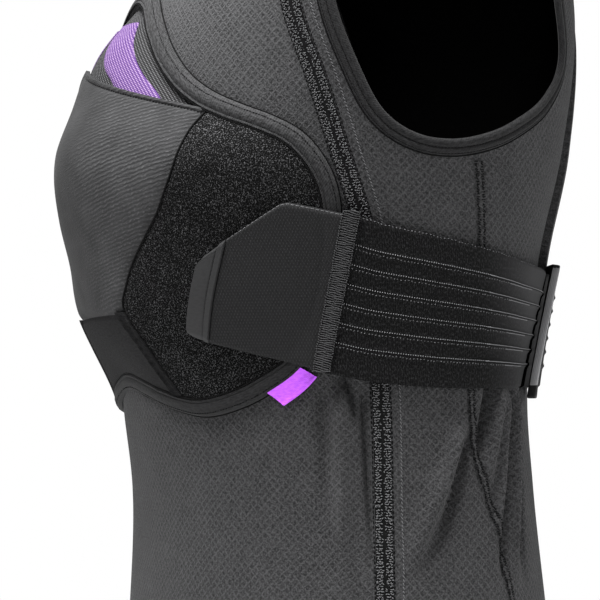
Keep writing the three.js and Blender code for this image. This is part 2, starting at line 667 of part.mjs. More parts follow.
/** Radius at which a direction from the pad's centre meets the flank edge. */
function flankRadius(angle) {
  let inside = 0;
  let outside = PAD_REACH;
  for (let round = 0; round < 30; round += 1) {
    const radius = (inside + outside) / 2;
    const { turn, z } = padPlace(angle, radius);
    if (turn < flankTurn(z)) inside = radius;
    else outside = radius;
  }
  return inside;
}

/** Point in the thickness of a cover that lies on the insert. */
function onPad(turn, z, share) {
  return onTorso(turn, z, padLift(turn, z) - PAD_COVER * (1 - share));
}

/** Rib-knit pocket front, over the middle of the insert. */
function ribPanel() {
  return bentBox(14, 8, (u, v, t) => {
    const side = 2 * u - 1;
    const z = lerp(RIB_FOOT_Z + GAP / 2, mouthZ(side * MOUTH_CORNER.turn), v);
    return onPad(side * (flankTurn(z) - HALF_GAP_TURN), z, t);
  });
}

/** Dark panel below the pocket front. */
function lowerPanel() {
  return bentBox(8, 4, (u, v, t) => {
    const side = 2 * u - 1;
    const z = lerp(padFloorZ(side * FLANK_EDGE[0].turn), RIB_FOOT_Z - GAP / 2, v);
    return onPad(side * (flankTurn(z) - HALF_GAP_TURN), z, t);
  });
}

/** Loop patch on the pad's flank, between the middle panels and the binding. */
function loopPatch() {
  return bentBox(6, 11, (u, v, t) => {
    const angle = THREE.MathUtils.degToRad(lerp(LOOP_PATCH.fromAngle, LOOP_PATCH.toAngle, v));
    const outer = radiusAt(padRadii, angle, INSERT_INSET + LOOP_PATCH.rimGap);
    const inner = Math.min(flankRadius(angle) + COVER_SIDE_GAP / 2, outer - LOOP_PATCH.leastWidth);
    const { turn, z } = padPlace(angle, lerp(inner, outer, u));
    return onPad(turn, z, t);
  });
}

/** Mesh band on the insert, from the pocket's mouth up towards the pad's peak. */
function insertBand() {
  return bentBox(2, 4, (u, v, t) => {
    const half = lerp(INSERT_BAND.footHalf, INSERT_BAND.topHalf, v);
    const turn = lerp(INSERT_BAND.footTurn, INSERT_BAND.topTurn, v) + (2 * u - 1) * half;
    const z = lerp(mouthZ(turn) + GAP, INSERT_BAND.topZ, v);
    return onTorso(turn, z, insertLift(turn, z) + INSERT_BAND_SEAT + t * INSERT_BAND_THICKNESS);
  });
}

/** Loop tag along the outer side of the pad's binding. */
function sideTag() {
  return bentBox(2, 4, (u, v, t) => {
    const angle = THREE.MathUtils.degToRad(lerp(TAG.fromAngle, TAG.toAngle, v));
    const { turn, z } = padPlace(angle, radiusAt(padRadii, angle, -GAP - u * TAG.depth));
    return onTorso(turn, z, PAD_SEAT + t * TAG.thickness);
  });
}

// Belt, hook tab and slider.

/** Lift that clears the pad, its covers and its binding. */
function clearOfPad(turn, z) {
  return Math.max(padLift(turn, z), PAD_EDGE) + COVER_GAP;
}

/** Plate that lies on the pad, between a lower and an upper edge given in a table. */
function padPlate(rows, thickness, columns, levels) {
  return bentBox(columns, levels, (u, v, t) => {
    const at = (column) => straightTable(rows, column, u, "along");
    const turn = lerp(at("lowTurn"), at("highTurn"), v);
    const z = lerp(at("lowZ"), at("highZ"), v);
    return onTorso(turn, z, clearOfPad(turn, z) + t * thickness);
  });
}

/** Close-sewn band over the joint of tab and belt. */
function stitchBand() {
  return bentBox(1, 8, (u, v, t) => {
    const turn = lerp(STITCH_BAND.lowTurn, STITCH_BAND.highTurn, v) + (2 * u - 1) * STITCH_BAND.halfTurn;
    const z = lerp(STITCH_BAND.lowZ, STITCH_BAND.highZ, v);
    return onTorso(turn, z, STITCH_BAND.lift + t * STITCH_BAND.thickness);
  });
}

/** Shares of the belt's width, from its lower edge, where its section has a corner. */
function beltLines() {
  const lines = [{ share: 0, raised: 0 }];
  for (let half = -1; half < 2 * RIB_COUNT; half += 1) {
    lines.push({ share: FIRST_RIB + half * RIB_PITCH / 2, raised: half % 2 === 0 ? RIB_HEIGHT : 0 });
  }
  lines.push({ share: 1, raised: 0 });
  return lines;
}

/** Turn by which the slider, and the belt in it, leans at a height. */
function leanTurn(z) {
  return SLIDER_LEAN_TURN * (z - SLIDER.z) / SLIDER.slotLength;
}

/** Ribbed elastic belt. */
function belt() {
  const lines = beltLines();
  const columns = BELT.length - 1;
  const rows = lines.length - 1;
  return bentBox(columns, rows, (u, v, t) => {
    const { turn, high, low, lift } = BELT[Math.round(u * columns)];
    const { share, raised } = lines[Math.round(v * rows)];
    const slant = BELT_SLANT_TURN * (share - 0.5) * (1 - smoothstep(turn, BELT[0].turn, BELT_SLANT_END));
    const leanShare = smoothstep(turn, LEAN_START.from, LEAN_START.to) * (1 - smoothstep(turn, LEAN_END.from, LEAN_END.to));
    const ribs = u > 0 ? raised : 0;
    const z = lerp(low, high, share);
    return onTorso(turn + slant + leanShare * leanTurn(z), z, lift + t * (BELT_THICKNESS + ribs));
  });
}

/** Slot frame that the belt's end passes through. */
function slider() {
  const section = [
    { outer: true, out: 0 }, { outer: true, out: SLIDER_THICKNESS },
    { outer: false, out: SLIDER_THICKNESS }, { outer: false, out: 0 },
  ];
  return bentRing(28, section.length, (share, corner) => {
    const angle = share * 2 * Math.PI;
    const { outer, out } = section[corner];
    const halfTurn = SLIDER.slotTurn / 2 + (outer ? SLIDER.barTurn : 0);
    const halfLength = SLIDER.slotLength / 2 + (outer ? SLIDER.endBar : 0);
    const turn = SLIDER.turn + halfTurn * signedPower(Math.cos(angle), SLIDER.cornerPower);
    const z = SLIDER.z + halfLength * signedPower(Math.sin(angle), SLIDER.cornerPower);
    return onTorso(turn + leanTurn(z), z, SLIDER.lift + out);
  });
}

// Back pad.

const backHalf = BACK_PAD_OUTLINE.map(
  ({ turn, z }) => new THREE.Vector3(turn * MM_PER_DEGREE, z - BACK_PAD_CENTRE_Z, 0),
);
const backOtherHalf = backHalf.slice(1, -1).reverse().map((point) => new THREE.Vector3(-point.x, point.y, 0));
const backCurve = new THREE.CatmullRomCurve3([...backHalf, ...backOtherHalf], true, "centripetal");
const backRadii = radiiOf(backCurve);

function backPad() {
  return bentDisc(32, 4, (angle, share, top) => {
    const radius = share * radiusAt(backRadii, angle);
    const turn = 180 + radius * Math.cos(angle) / MM_PER_DEGREE;
    const z = BACK_PAD_CENTRE_Z + radius * Math.sin(angle);
    const fall = 1 - (1 - BACK_PAD_EDGE_SHARE) * share ** BACK_PAD_ROUNDING;
    return onTorso(turn, z, top ? smoothTable(BACK_PAD_LIFT, "lift", z) * fall : PAD_SEAT);
  });
}

// The assembly.

const protector = new THREE.Group();

/** Adds one named piece. */
function add(name, geometry, finish) {
  const mesh = new THREE.Mesh(geometry, new THREE.MeshStandardMaterial(finish));
  mesh.name = name;
  mesh.geometry.computeVertexNormals();
  protector.add(mesh);
}

/** Adds a piece on the wearer's left and its mirror image on the right. */
function addPair(name, geometry, finish) {
  add(`${name}_left`, geometry, finish);
  add(`${name}_right`, mirrored(geometry), finish);
}

add("front_panel", frontPanel(), KNIT);
add("back_panel", backPanel(), KNIT);
addPair("side_panel", sidePanel(), KNIT);
addPair("front_seam", seamBand(frontSeamTurn, FRONT_SEAM_WIDTH, FRONT_SEAM_TOP), KNIT);
addPair("side_seam", seamBand(sideSeamTurn, SIDE_SEAM_WIDTH, SIDE_SEAM_TOP), KNIT);
addPair("armhole_binding", edgeBinding(armholePath, ARMHOLE_STEPS), BINDING_CLOTH);
add("neck_binding", edgeBinding(neckPath, NECK_STEPS), BINDING_CLOTH);
add("hem_band", hemBand(), KNIT);
add("chest_insert", chestInsert(), DARK_CLOTH);
addPair("insert_band", insertBand(), PURPLE);
add("rib_panel", ribPanel(), RIB_KNIT);
add("lower_panel", lowerPanel(), DARK_CLOTH);
addPair("loop_patch", loopPatch(), LOOP_PILE);
add("pad_binding", padBinding(), BINDING_CLOTH);
add("side_tag", sideTag(), PURPLE);
addPair("belt_tab", padPlate(TAB, TAB_THICKNESS, 12, 4), TAB_CLOTH);
addPair("tab_tip", padPlate(TIP, TIP_THICKNESS, 4, 3), TAB_CLOTH);
addPair("stitch_band", stitchBand(), THREAD);
addPair("belt", belt(), ELASTIC);
addPair("slider", slider(), PLASTIC);
add("back_pad", backPad(), KNIT);

export default protector;
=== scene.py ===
"""Dressed chest and back protector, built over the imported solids.

Sizes are millimetres and degrees, in the solids' own frame. A place on the torso is a turn from the
centre front towards the wearer's left, a height z, and a lift out from the torso form.
"""

import logging
import math
from dataclasses import dataclass, field
from enum import Enum
from typing import Callable, Sequence

import bpy
import numpy as np
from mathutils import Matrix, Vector


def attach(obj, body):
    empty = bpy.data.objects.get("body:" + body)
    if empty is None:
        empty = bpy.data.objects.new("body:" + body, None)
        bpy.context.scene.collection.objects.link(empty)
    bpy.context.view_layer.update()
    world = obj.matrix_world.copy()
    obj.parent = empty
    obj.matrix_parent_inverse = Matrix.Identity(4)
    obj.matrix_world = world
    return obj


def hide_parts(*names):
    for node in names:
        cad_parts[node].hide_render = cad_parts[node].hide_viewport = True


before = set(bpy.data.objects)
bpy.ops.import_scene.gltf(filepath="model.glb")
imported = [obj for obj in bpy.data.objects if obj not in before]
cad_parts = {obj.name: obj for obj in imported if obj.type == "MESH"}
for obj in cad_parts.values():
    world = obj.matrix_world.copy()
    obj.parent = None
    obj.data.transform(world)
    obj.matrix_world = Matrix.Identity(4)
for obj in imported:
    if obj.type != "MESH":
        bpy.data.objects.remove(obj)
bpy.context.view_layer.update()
LOG = logging.getLogger("protector")

Array = np.ndarray
Socket = bpy.types.NodeSocket
SocketPair = tuple[Socket, Socket]
Material = bpy.types.Material
Piece = bpy.types.Object
Triple = tuple[float, float, float]
Range = tuple[float, float]
Shares = tuple[float, ...]
Table = Sequence[Sequence[float]]
Line = tuple[Array, Array]

METRES = 0.001
BODY = "root"
MM_PER_DEGREE = 2.75
SHARP_ANGLE = math.radians(52)
CURVE_SAMPLES = 24
SEARCH_STEPS = 30


class Side(Enum):
    """Side of the wearer, as the sign of x."""

    LEFT = 1
    RIGHT = -1

    @property
    def word(self) -> str:
        """Ending of the names on this side."""
        return self.name.lower()


class Slot(Enum):
    """Material slots of the record."""

    KNIT = "knit"
    BINDING = "binding"
    RIB_KNIT = "rib_knit"
    DARK_CLOTH = "dark_cloth"
    LOOP_PILE = "loop_pile"
    ELASTIC = "elastic"
    TAB_CLOTH = "tab_cloth"
    THREAD = "thread"
    PLASTIC = "plastic"
    PURPLE_MESH = "purple_mesh"
    PURPLE_TAPE = "purple_tape"


# Small sums.


def lerp(first: Array, last: Array, share: Array) -> Array:
    """Value at a share of the way from first to last."""
    return first + (last - first) * share


def smoothstep(value: Array, low: float, high: float) -> Array:
    """Smooth rise from 0 at low to 1 at high."""
    share = np.clip((np.asarray(value, float) - low) / (high - low), 0, 1)
    return share * share * (3 - 2 * share)


def signed_power(value: Array, power: Array) -> Array:
    """Power of the size of a value, with the value's sign."""
    return np.sign(value) * np.abs(value) ** power


def unit(vectors: Array) -> Array:
    """Vectors scaled to length 1."""
    return vectors / np.linalg.norm(vectors, axis=-1, keepdims=True)


def bump(value: Array, centre: float, half_width: float) -> Array:
    """Smooth hill of height 1 round a centre."""
    return np.exp(-(((np.asarray(value, float) - centre) / half_width) ** 2))


@dataclass(frozen=True)
class Ridge:
    """Smooth ridge along a line, or a groove where its height is negative."""

    height: float
    centre: float
    half_width: float

    def at(self, place: Array) -> Array:
        """Height at a place across the line."""
        return self.height * bump(place, self.centre, self.half_width)


def share_grid(columns: int, rows: int, first: float = 0) -> tuple[Array, Array]:
    """Shares of a grid: across from first to 1, and up from 0 to 1."""
    return np.meshgrid(np.linspace(first, 1, columns), np.linspace(0, 1, rows))


def last_held(held: Callable[[Array], Array], near: Array, far: Array) -> Array:
    """Furthest value from near towards far for which a test still holds."""
    for _ in range(SEARCH_STEPS):
        middle = (near + far) / 2
        good = held(middle)
        near, far = np.where(good, middle, near), np.where(good, far, middle)
    return near


class SmoothTable:
    """Smooth curve through the rows of a short table."""

    def __init__(self, keys: Sequence[float], values: Sequence[float]) -> None:
        """Works out the slope at each row."""
        self.keys = np.asarray(keys, float)
        self.values = np.asarray(values, float)
        steps = np.diff(self.keys)
        rises = np.diff(self.values)
        inner = rises[1:] * steps[:-1] / steps[1:] + rises[:-1] * steps[1:] / steps[:-1]
        ends = rises / steps
        self.slopes = np.concatenate((ends[:1], inner / (steps[:-1] + steps[1:]), ends[-1:]))

    def __call__(self, at: Array) -> Array:
        """Value of the curve, level beyond its ends."""
        place = np.clip(np.asarray(at, float), self.keys[0], self.keys[-1])
        row = np.clip(np.searchsorted(self.keys, place, side="right") - 1, 0, len(self.keys) - 2)
        step = self.keys[row + 1] - self.keys[row]
        t = (place - self.keys[row]) / step
        rise = t * t * (3 - 2 * t)
        leave = t * (1 - t) * (1 - t) * step * self.slopes[row]
        arrive = t * t * (t - 1) * step * self.slopes[row + 1]
        return self.values[row] * (1 - rise) + self.values[row + 1] * rise + leave + arrive


def closed_curve(points: Array, count: int) -> Array:
    """Evenly spaced points on a smooth closed curve.

    Args:
        points: Points that the curve goes through, one row each.
        count: Number of points wanted.

    Returns:
        The points, without a repeat of the first.
    """
    share = np.linspace(0, 1, CURVE_SAMPLES, endpoint=False)[:, None]
    before, start = np.roll(points, 1, axis=0), points
    end, after = np.roll(points, -1, axis=0), np.roll(points, -2, axis=0)
    samples = []
    for p0, p1, p2, p3 in zip(before, start, end, after):
        d0, d1, d2 = (math.sqrt(np.linalg.norm(b - a)) for a, b in ((p0, p1), (p1, p2), (p2, p3)))
        leave = ((p1 - p0) / d0 - (p2 - p0) / (d0 + d1) + (p2 - p1) / d1) * d1
        arrive = ((p2 - p1) / d1 - (p3 - p1) / (d1 + d2) + (p3 - p2) / d2) * d1
        rise = share * share * (3 - 2 * share)
        bend = leave * share * (1 - share) ** 2 + arrive * share**2 * (share - 1)
        samples.append(p1 * (1 - rise) + p2 * rise + bend)
    dense = np.concatenate(samples + [points[:1]])
    reach = np.concatenate(([0], np.cumsum(np.linalg.norm(np.diff(dense, axis=0), axis=1))))
    wanted = np.linspace(0, reach[-1], count, endpoint=False)
    return np.stack([np.interp(wanted, reach, column) for column in dense.T], axis=-1)


# The torso form.


class TorsoForm:
    """Body shape that every piece lies on."""

    LEVELS = (-640, -530, -430, -385, -300, -235, -150, -85, -45, -20, 0)
    half_width = SmoothTable(LEVELS, (169, 161, 149, 147, 154, 163, 171, 170, 154, 112, 78))
    front = SmoothTable(LEVELS, (122, 120, 119.5, 126.5, 130, 134, 122, 92, 64, 48, 38))
    back = SmoothTable(LEVELS, (113, 110, 102, 99, 106, 122, 129, 113, 84, 60, 46))
    front_square = SmoothTable(LEVELS, (2.2, 2.2, 2.2, 2.1, 2.0, 1.95, 2.0, 2.0, 2.0, 2.0, 2.0))
    back_square = SmoothTable(LEVELS, (2.3, 2.3, 2.3, 2.3, 2.3, 2.3, 2.3, 2.2, 2.1, 2.0, 2.0))
    GRID_STEP_Z = 8

    def __init__(self) -> None:
        """Prepares the cloth lengths over the form."""
        turns = np.arange(0, 361)
        levels = np.arange(self.LEVELS[0], self.GRID_STEP_Z, self.GRID_STEP_Z)
        points = self.point(turns[None, :], levels[:, None])
        around = np.linalg.norm(np.diff(points, axis=1), axis=-1)
        upward = np.linalg.norm(np.diff(points, axis=0), axis=-1)
        self.arcs = np.pad(np.cumsum(around, axis=1), ((0, 0), (1, 0)))
        self.climbs = np.pad(np.cumsum(upward, axis=0), ((1, 0), (0, 0)))

    def point(self, turn: Array, z: Array) -> Array:
        """Point of the form."""
        turn, z = np.broadcast_arrays(np.asarray(turn, float), np.asarray(z, float))
        angle = np.radians(turn)
        ahead = np.cos(angle) > 0
        power = 2 / np.where(ahead, self.front_square(z), self.back_square(z))
        depth = np.where(ahead, self.front(z), self.back(z))
        x = self.half_width(z) * signed_power(np.sin(angle), power)
        return np.stack((x, -depth * signed_power(np.cos(angle), power), z), axis=-1)

    def normal(self, turn: Array, z: Array) -> Array:
        """Outward normal of the form."""
        turn, z = np.asarray(turn, float), np.asarray(z, float)
        around = self.point(turn + 0.5, z) - self.point(turn - 0.5, z)
        upward = self.point(turn, z + 1) - self.point(turn, z - 1)
        return unit(np.cross(around, upward))

    def place(self, turn: Array, z: Array, lift: Array) -> Array:
        """Point at a lift above the form."""
        turn, z, lift = np.broadcast_arrays(turn, z, lift)
        return self.point(turn, z) + self.normal(turn, z) * lift[..., None]

    def cloth(self, turn: Array, z: Array) -> Array:
        """Lengths over the form, round from the centre front and up from the hem, as a pair."""
        turn, z = np.broadcast_arrays(np.asarray(turn, float), np.asarray(z, float))
        column = np.clip(np.abs(turn), 0, 359.99)
        row = np.clip((z - self.LEVELS[0]) / self.GRID_STEP_Z, 0, len(self.arcs) - 1.01)
        i, j = np.floor(row).astype(int), np.floor(column).astype(int)
        a, b = row - i, column - j

        def between(grid: Array) -> Array:
            """Value of a grid between its four nearest entries."""
            low = lerp(grid[i, j], grid[i, j + 1], b)
            high = lerp(grid[i + 1, j], grid[i + 1, j + 1], b)
            return lerp(low, high, a)

        return np.stack((np.sign(turn) * between(self.arcs), between(self.climbs)), axis=-1)


TORSO = TorsoForm()


# Meshes.


def link(name: str, data: bpy.types.ID) -> Piece:
    """Object of some data, added to the scene."""
    made = bpy.data.objects.new(name, data)
    bpy.context.scene.collection.objects.link(made)
    return made


@dataclass
class Patch:
    """Quads over points, with the cloth coordinates of their corners, in millimetres."""

    points: Array
    uv: Array
    faces: Array
    uv_faces: Array
    looks: Array

    @classmethod
    def grid(cls, points: Array, uv: Array, wrap_rows: bool = False, wrap_columns: bool = False) -> "Patch":
        """Patch over a grid of points.

        Args:
            points: Points by row and column.
            uv: Cloth coordinates, with one row or column more where the grid closes on itself.
            wrap_rows: Whether the last row joins the first.
            wrap_columns: Whether the last column joins the first.

        Returns:
            The patch.
        """
        rows, columns = points.shape[:2]
        wide = uv.shape[1]
        i, j = np.meshgrid(
            np.arange(rows - 1 + wrap_rows), np.arange(columns - 1 + wrap_columns), indexing="ij"
        )
        i, j = i.ravel(), j.ravel()
        corners = ((i, j), (i, j + 1), (i + 1, j + 1), (i + 1, j))
        faces = np.stack([(r % rows) * columns + c % columns for r, c in corners], axis=-1)
        uv_faces = np.stack([r * wide + c for r, c in corners], axis=-1)
        return cls(points.reshape(-1, 3), uv.reshape(-1, 2), faces, uv_faces, np.zeros(len(faces), int))

    def keep(self, wanted: Array) -> "Patch":
        """Patch with only the wanted faces."""
        return Patch(self.points, self.uv, self.faces[wanted], self.uv_faces[wanted], self.looks[wanted])

    def centres(self) -> Array:
        """Middle of each face."""
        return self.points[self.faces].mean(axis=1)

    def area(self) -> float:
        """Area of the faces in square metres."""
        corners = self.points[self.faces]
        across = corners[:, 2] - corners[:, 0], corners[:, 3] - corners[:, 1]
        return float(np.linalg.norm(np.cross(*across), axis=1).sum() / 2 * METRES**2)

    def thick(self, inner: Array, inner_look: int = 0) -> "Patch":
        """Closed wall between this patch and its inner points.

        Args:
            inner: Inner point of each point.
            inner_look: Index of the inner side's material.

        Returns:
            The wall.
        """
        count = len(self.points)
        ahead = np.roll(self.faces, -1, axis=1)
        uv_ahead = np.roll(self.uv_faces, -1, axis=1)
        start, end = self.faces.ravel(), ahead.ravel()
        free = ~np.isin(start * count + end, end * count + start)
        start, end = start[free], end[free]
        uv_start, uv_end = self.uv_faces.ravel()[free], uv_ahead.ravel()[free]
        rim = np.stack((end, start, start + count, end + count), axis=-1)
        uv_rim = np.stack((uv_end, uv_start, uv_start, uv_end), axis=-1)
        rim_looks = np.repeat(self.looks, 4)[free]
        return Patch(
            np.concatenate((self.points, inner.reshape(-1, 3))),
            self.uv,
            np.concatenate((self.faces, self.faces[:, ::-1] + count, rim)),
            np.concatenate((self.uv_faces, self.uv_faces[:, ::-1], uv_rim)),
            np.concatenate((self.looks, np.full(len(self.faces), inner_look), rim_looks)),
        )

    def mirrored(self, side: Side) -> "Patch":
        """Patch on the given side of the wearer, from one made for the left."""
        points = self.points * (side.value, 1, 1)
        uv = self.uv * (side.value, 1)
        return Patch(points, uv, self.faces, self.uv_faces, self.looks)

    def volume(self) -> float:
        """Signed volume inside a closed patch."""
        a, b, c, d = (self.points[self.faces[:, k]] for k in range(4))
        halves = np.einsum("ij,ij->i", a, np.cross(b, c)) + np.einsum("ij,ij->i", a, np.cross(c, d))
        return float(halves.sum() / 6)

    def build(self, name: str, looks: Sequence[Material]) -> Piece:
        """Object of a closed patch, with its faces pointing out.

        Args:
            name: Name of the piece.
            looks: Materials by index.

        Returns:
            The object, at the origin.
        """
        turned = self.volume() < 0
        faces = self.faces[:, ::-1] if turned else self.faces
        uv_faces = self.uv_faces[:, ::-1] if turned else self.uv_faces
        used, compact = np.unique(faces, return_inverse=True)
        mesh = bpy.data.meshes.new(name)
        mesh.from_pydata((self.points[used] * METRES).tolist(), [], compact.reshape(faces.shape).tolist())
        layer = mesh.uv_layers.new(name="UVMap")
        layer.data.foreach_set("uv", (self.uv[uv_faces.ravel()] * METRES).astype(np.float32).ravel())
        mesh.polygons.foreach_set("material_index", self.looks.astype(np.int32))
        for look in looks:
            mesh.materials.append(look)
        mesh.shade_smooth()
        mesh.set_sharp_from_angle(angle=SHARP_ANGLE)
        mesh.validate()
        return link(name, mesh)


def slab(outer: Array, inner: Array, uv: Array) -> Patch:
    """Closed wall between two grids of points."""
    return Patch.grid(outer, uv).thick(inner)


def torso_slab(turn: Array, z: Array, outer: Array, inner: Array) -> Patch:
    """Closed wall on the torso between two lifts."""
    return slab(TORSO.place(turn, z, outer), TORSO.place(turn, z, inner), TORSO.cloth(turn, z))


def ring(points: Array, uv: Array) -> Patch:
    """Closed tube: rows go round its section and columns along its closed path."""
    return Patch.grid(points, uv, wrap_rows=True, wrap_columns=True)


def lengths(points: Array, axis: int, closed: bool = False) -> Array:
    """Length along one axis of a grid of points, from its first row or column."""
    if closed:
        points = np.concatenate((points, np.take(points, [0], axis=axis)), axis=axis)
    steps = np.linalg.norm(np.diff(points, axis=axis), axis=-1)
    pad = [(0, 0)] * steps.ndim
    pad[axis] = (1, 0)
    return np.pad(np.cumsum(steps, axis=axis), pad)


def ring_uv(path: Array, section: Array) -> Array:
    """Cloth coordinates of a closed tube, from the points along it and round it."""
    along = lengths(path[None], 1, closed=True)
    girth = lengths(section[:, None], 0, closed=True)
    return np.stack(np.broadcast_arrays(along, girth), axis=-1)


def adopt(made: Piece, slot: Slot, *nodes: str) -> Piece:
    """Puts a finished object on the part's body."""
    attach(made, BODY)
    if nodes:
        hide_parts(*nodes)
    LOG.info("%s: %d faces", made.name, len(made.data.polygons))
    return made


# Finishes.


def add_node(tree: bpy.types.NodeTree, kind: str, inputs: dict, settings: dict) -> bpy.types.Node:
    """Adds a node with its properties, and a value or socket for each input."""
    node = tree.nodes.new(kind)
    for name, value in settings.items():
        setattr(node, name, value)
    for key, value in inputs.items():
        if isinstance(value, Socket):
            tree.links.new(value, node.inputs[key])
        else:
            node.inputs[key].default_value = value
    return node


class Shader:
    """Node tree of one material, with short ways to add what the finishes need."""

    def __init__(self, name: str) -> None:
        """Starts an empty tree."""
        self.material = bpy.data.materials.new(name)
        self.material.use_nodes = True
        self.tree = self.material.node_tree
        self.tree.nodes.clear()

    def add(self, kind: str, inputs: dict, **settings: object) -> bpy.types.Node:
        """Adds a node with its inputs and properties."""
        return add_node(self.tree, kind, inputs, settings)

    def math(self, operation: str, *values: float | Socket) -> Socket:
        """Result of a sum of values or sockets."""
        return self.add("ShaderNodeMath", dict(enumerate(values)), operation=operation).outputs[0]

    def cloth(self) -> SocketPair:
        """Cloth coordinates of the piece, in millimetres."""
        uv = self.add("ShaderNodeUVMap", {}, uv_map="UVMap").outputs[0]
        parts = self.add("ShaderNodeSeparateXYZ", {0: uv}).outputs
        return self.math("DIVIDE", parts[0], METRES), self.math("DIVIDE", parts[1], METRES)

    def place(self) -> SocketPair:
        """Depth towards the back and height in the part's frame, in millimetres."""
        point = self.add("ShaderNodeTexCoord", {}).outputs["Object"]
        parts = self.add("ShaderNodeSeparateXYZ", {0: point}).outputs
        return self.math("DIVIDE", parts[1], METRES), self.math("DIVIDE", parts[2], METRES)

    def noise(self, size: float, detail: float = 2.0, roughness: float = 0.6) -> Socket:
        """Noise from 0 to 1 with grains of a size in millimetres."""
        place = self.add("ShaderNodeTexCoord", {}).outputs["Object"]
        inputs = {"Vector": place, "Scale": 1 / (size * METRES), "Detail": detail, "Roughness": roughness}
        return self.add("ShaderNodeTexNoise", inputs).outputs[0]

    def yarn(self, u: Socket, v: Socket, wide: float, tall: float, detail: float = 1.0) -> Socket:
        """Noise from 0 to 1 on the cloth, with flecks of a width and height in millimetres."""
        across, up = self.math("DIVIDE", u, wide), self.math("DIVIDE", v, tall)
        place = self.add("ShaderNodeCombineXYZ", {0: across, 1: up}).outputs[0]
        inputs = {"Vector": place, "Scale": 1.0, "Detail": detail, "Roughness": 0.6}
        return self.add("ShaderNodeTexNoise", inputs).outputs[0]

    def step(self, value: Socket, low: float, high: float) -> Socket:
        """Smooth rise from 0 at low to 1 at high, or a fall where low is above high."""
        first, last = (0.0, 1.0) if low < high else (1.0, 0.0)
        inputs = {0: value, 1: min(low, high), 2: max(low, high), 3: first, 4: last}
        return self.add("ShaderNodeMapRange", inputs, interpolation_type="SMOOTHSTEP").outputs[0]

    def saw(self, value: Socket, pitch: float) -> Socket:
        """Distance to the nearest line of a set with the given pitch, from 0 to 0.5."""
        return self.math("PINGPONG", self.math("DIVIDE", value, pitch), 0.5)

    def wave(self, value: Socket, pitch: float) -> Socket:
        """Round ridges from 0 to 1 with the given pitch."""
        turned = self.math("SINE", self.math("MULTIPLY", value, 2 * math.pi / pitch))
        return self.math("MULTIPLY_ADD", turned, 0.5, 0.5)

    def blend(self, shares: Shares, *sockets: Socket) -> Socket:
        """Sum of sockets, each with its share."""
        total = self.math("MULTIPLY", sockets[0], shares[0])
        for share, socket in zip(shares[1:], sockets[1:]):
            total = self.math("MULTIPLY_ADD", socket, share, total)
        return total


@dataclass(frozen=True)
class Finish:
    """Surface of a piece: two colours that a pattern mixes, and a relief in millimetres."""

    name: str
    dark: Triple
    light: Triple
    relief: float = 0.4
    roughness: float = 0.85
    sheen: float = 0.0
    pitch: float = 1.0
    gloss: float = 0.06

    def pattern(self, shader: Shader) -> SocketPair:
        """Tone from dark to light, and height, of the surface."""
        grain = shader.noise(self.pitch)
        return grain, grain

    def material(self) -> Material:
        """Material of the finish."""
        shader = Shader(self.name)
        tone, height = self.pattern(shader)
        inputs = {0: tone, 6: (*self.dark, 1), 7: (*self.light, 1)}
        mix = shader.add("ShaderNodeMix", inputs, data_type="RGBA", clamp_factor=True)
        relief = {"Height": height, "Distance": self.relief * METRES, "Strength": 1.0}
        normal = shader.add("ShaderNodeBump", relief).outputs[0]
        surface = {
            "Base Color": mix.outputs[2],
            "Roughness": self.roughness,
            "Normal": normal,
            "Sheen Weight": self.sheen,
            "Sheen Roughness": 0.5,
            "Specular IOR Level": self.gloss,
        }
        principled = shader.add("ShaderNodeBsdfPrincipled", surface)
        shader.add("ShaderNodeOutputMaterial", {"Surface": principled.outputs[0]})
        return shader.material


@dataclass(frozen=True)
class GridKnit(Finish):
    """Heathered knit with a fine diamond grid, and painted light that lightens the upper chest front."""

    line_half: float = 0.27
    yarn_size: float = 0.95
    yarn_range: Range = (0.35, 0.65)
    shade_size: float = 16.0
    tone_shares: Shares = (0.26, 0.5, 0.24)
    height_shares: Shares = (0.55, 0.45)
    # Painted light: where the knit is lightened, high on the front.
    pale_heights: Range = (-305.0, -250.0)
    pale_depths: Range = (-55.0, -105.0)
    pale_gain: float = 0.9

    def pattern(self, shader: Shader) -> SocketPair:
        """Tone and height of the grid and the yarn."""
        u, v = shader.cloth()
        rising = shader.saw(shader.math("ADD", u, v), self.pitch)
        falling = shader.saw(shader.math("SUBTRACT", u, v), self.pitch)
        lattice = shader.step(shader.math("MINIMUM", rising, falling), self.line_half, 0.0)
        yarn = shader.step(shader.noise(self.yarn_size), *self.yarn_range)
        tone = shader.blend(self.tone_shares, lattice, yarn, shader.noise(self.shade_size))
        # Painted light: lighter on the upper chest front, where the light from above falls.
        depth, height = shader.place()
        high = shader.step(height, *self.pale_heights)
        pale = shader.math("MULTIPLY", high, shader.step(depth, *self.pale_depths))
        gain = shader.math("MULTIPLY_ADD", pale, self.pale_gain, 1.0)
        return shader.math("MULTIPLY", tone, gain), shader.blend(self.height_shares, lattice, yarn)


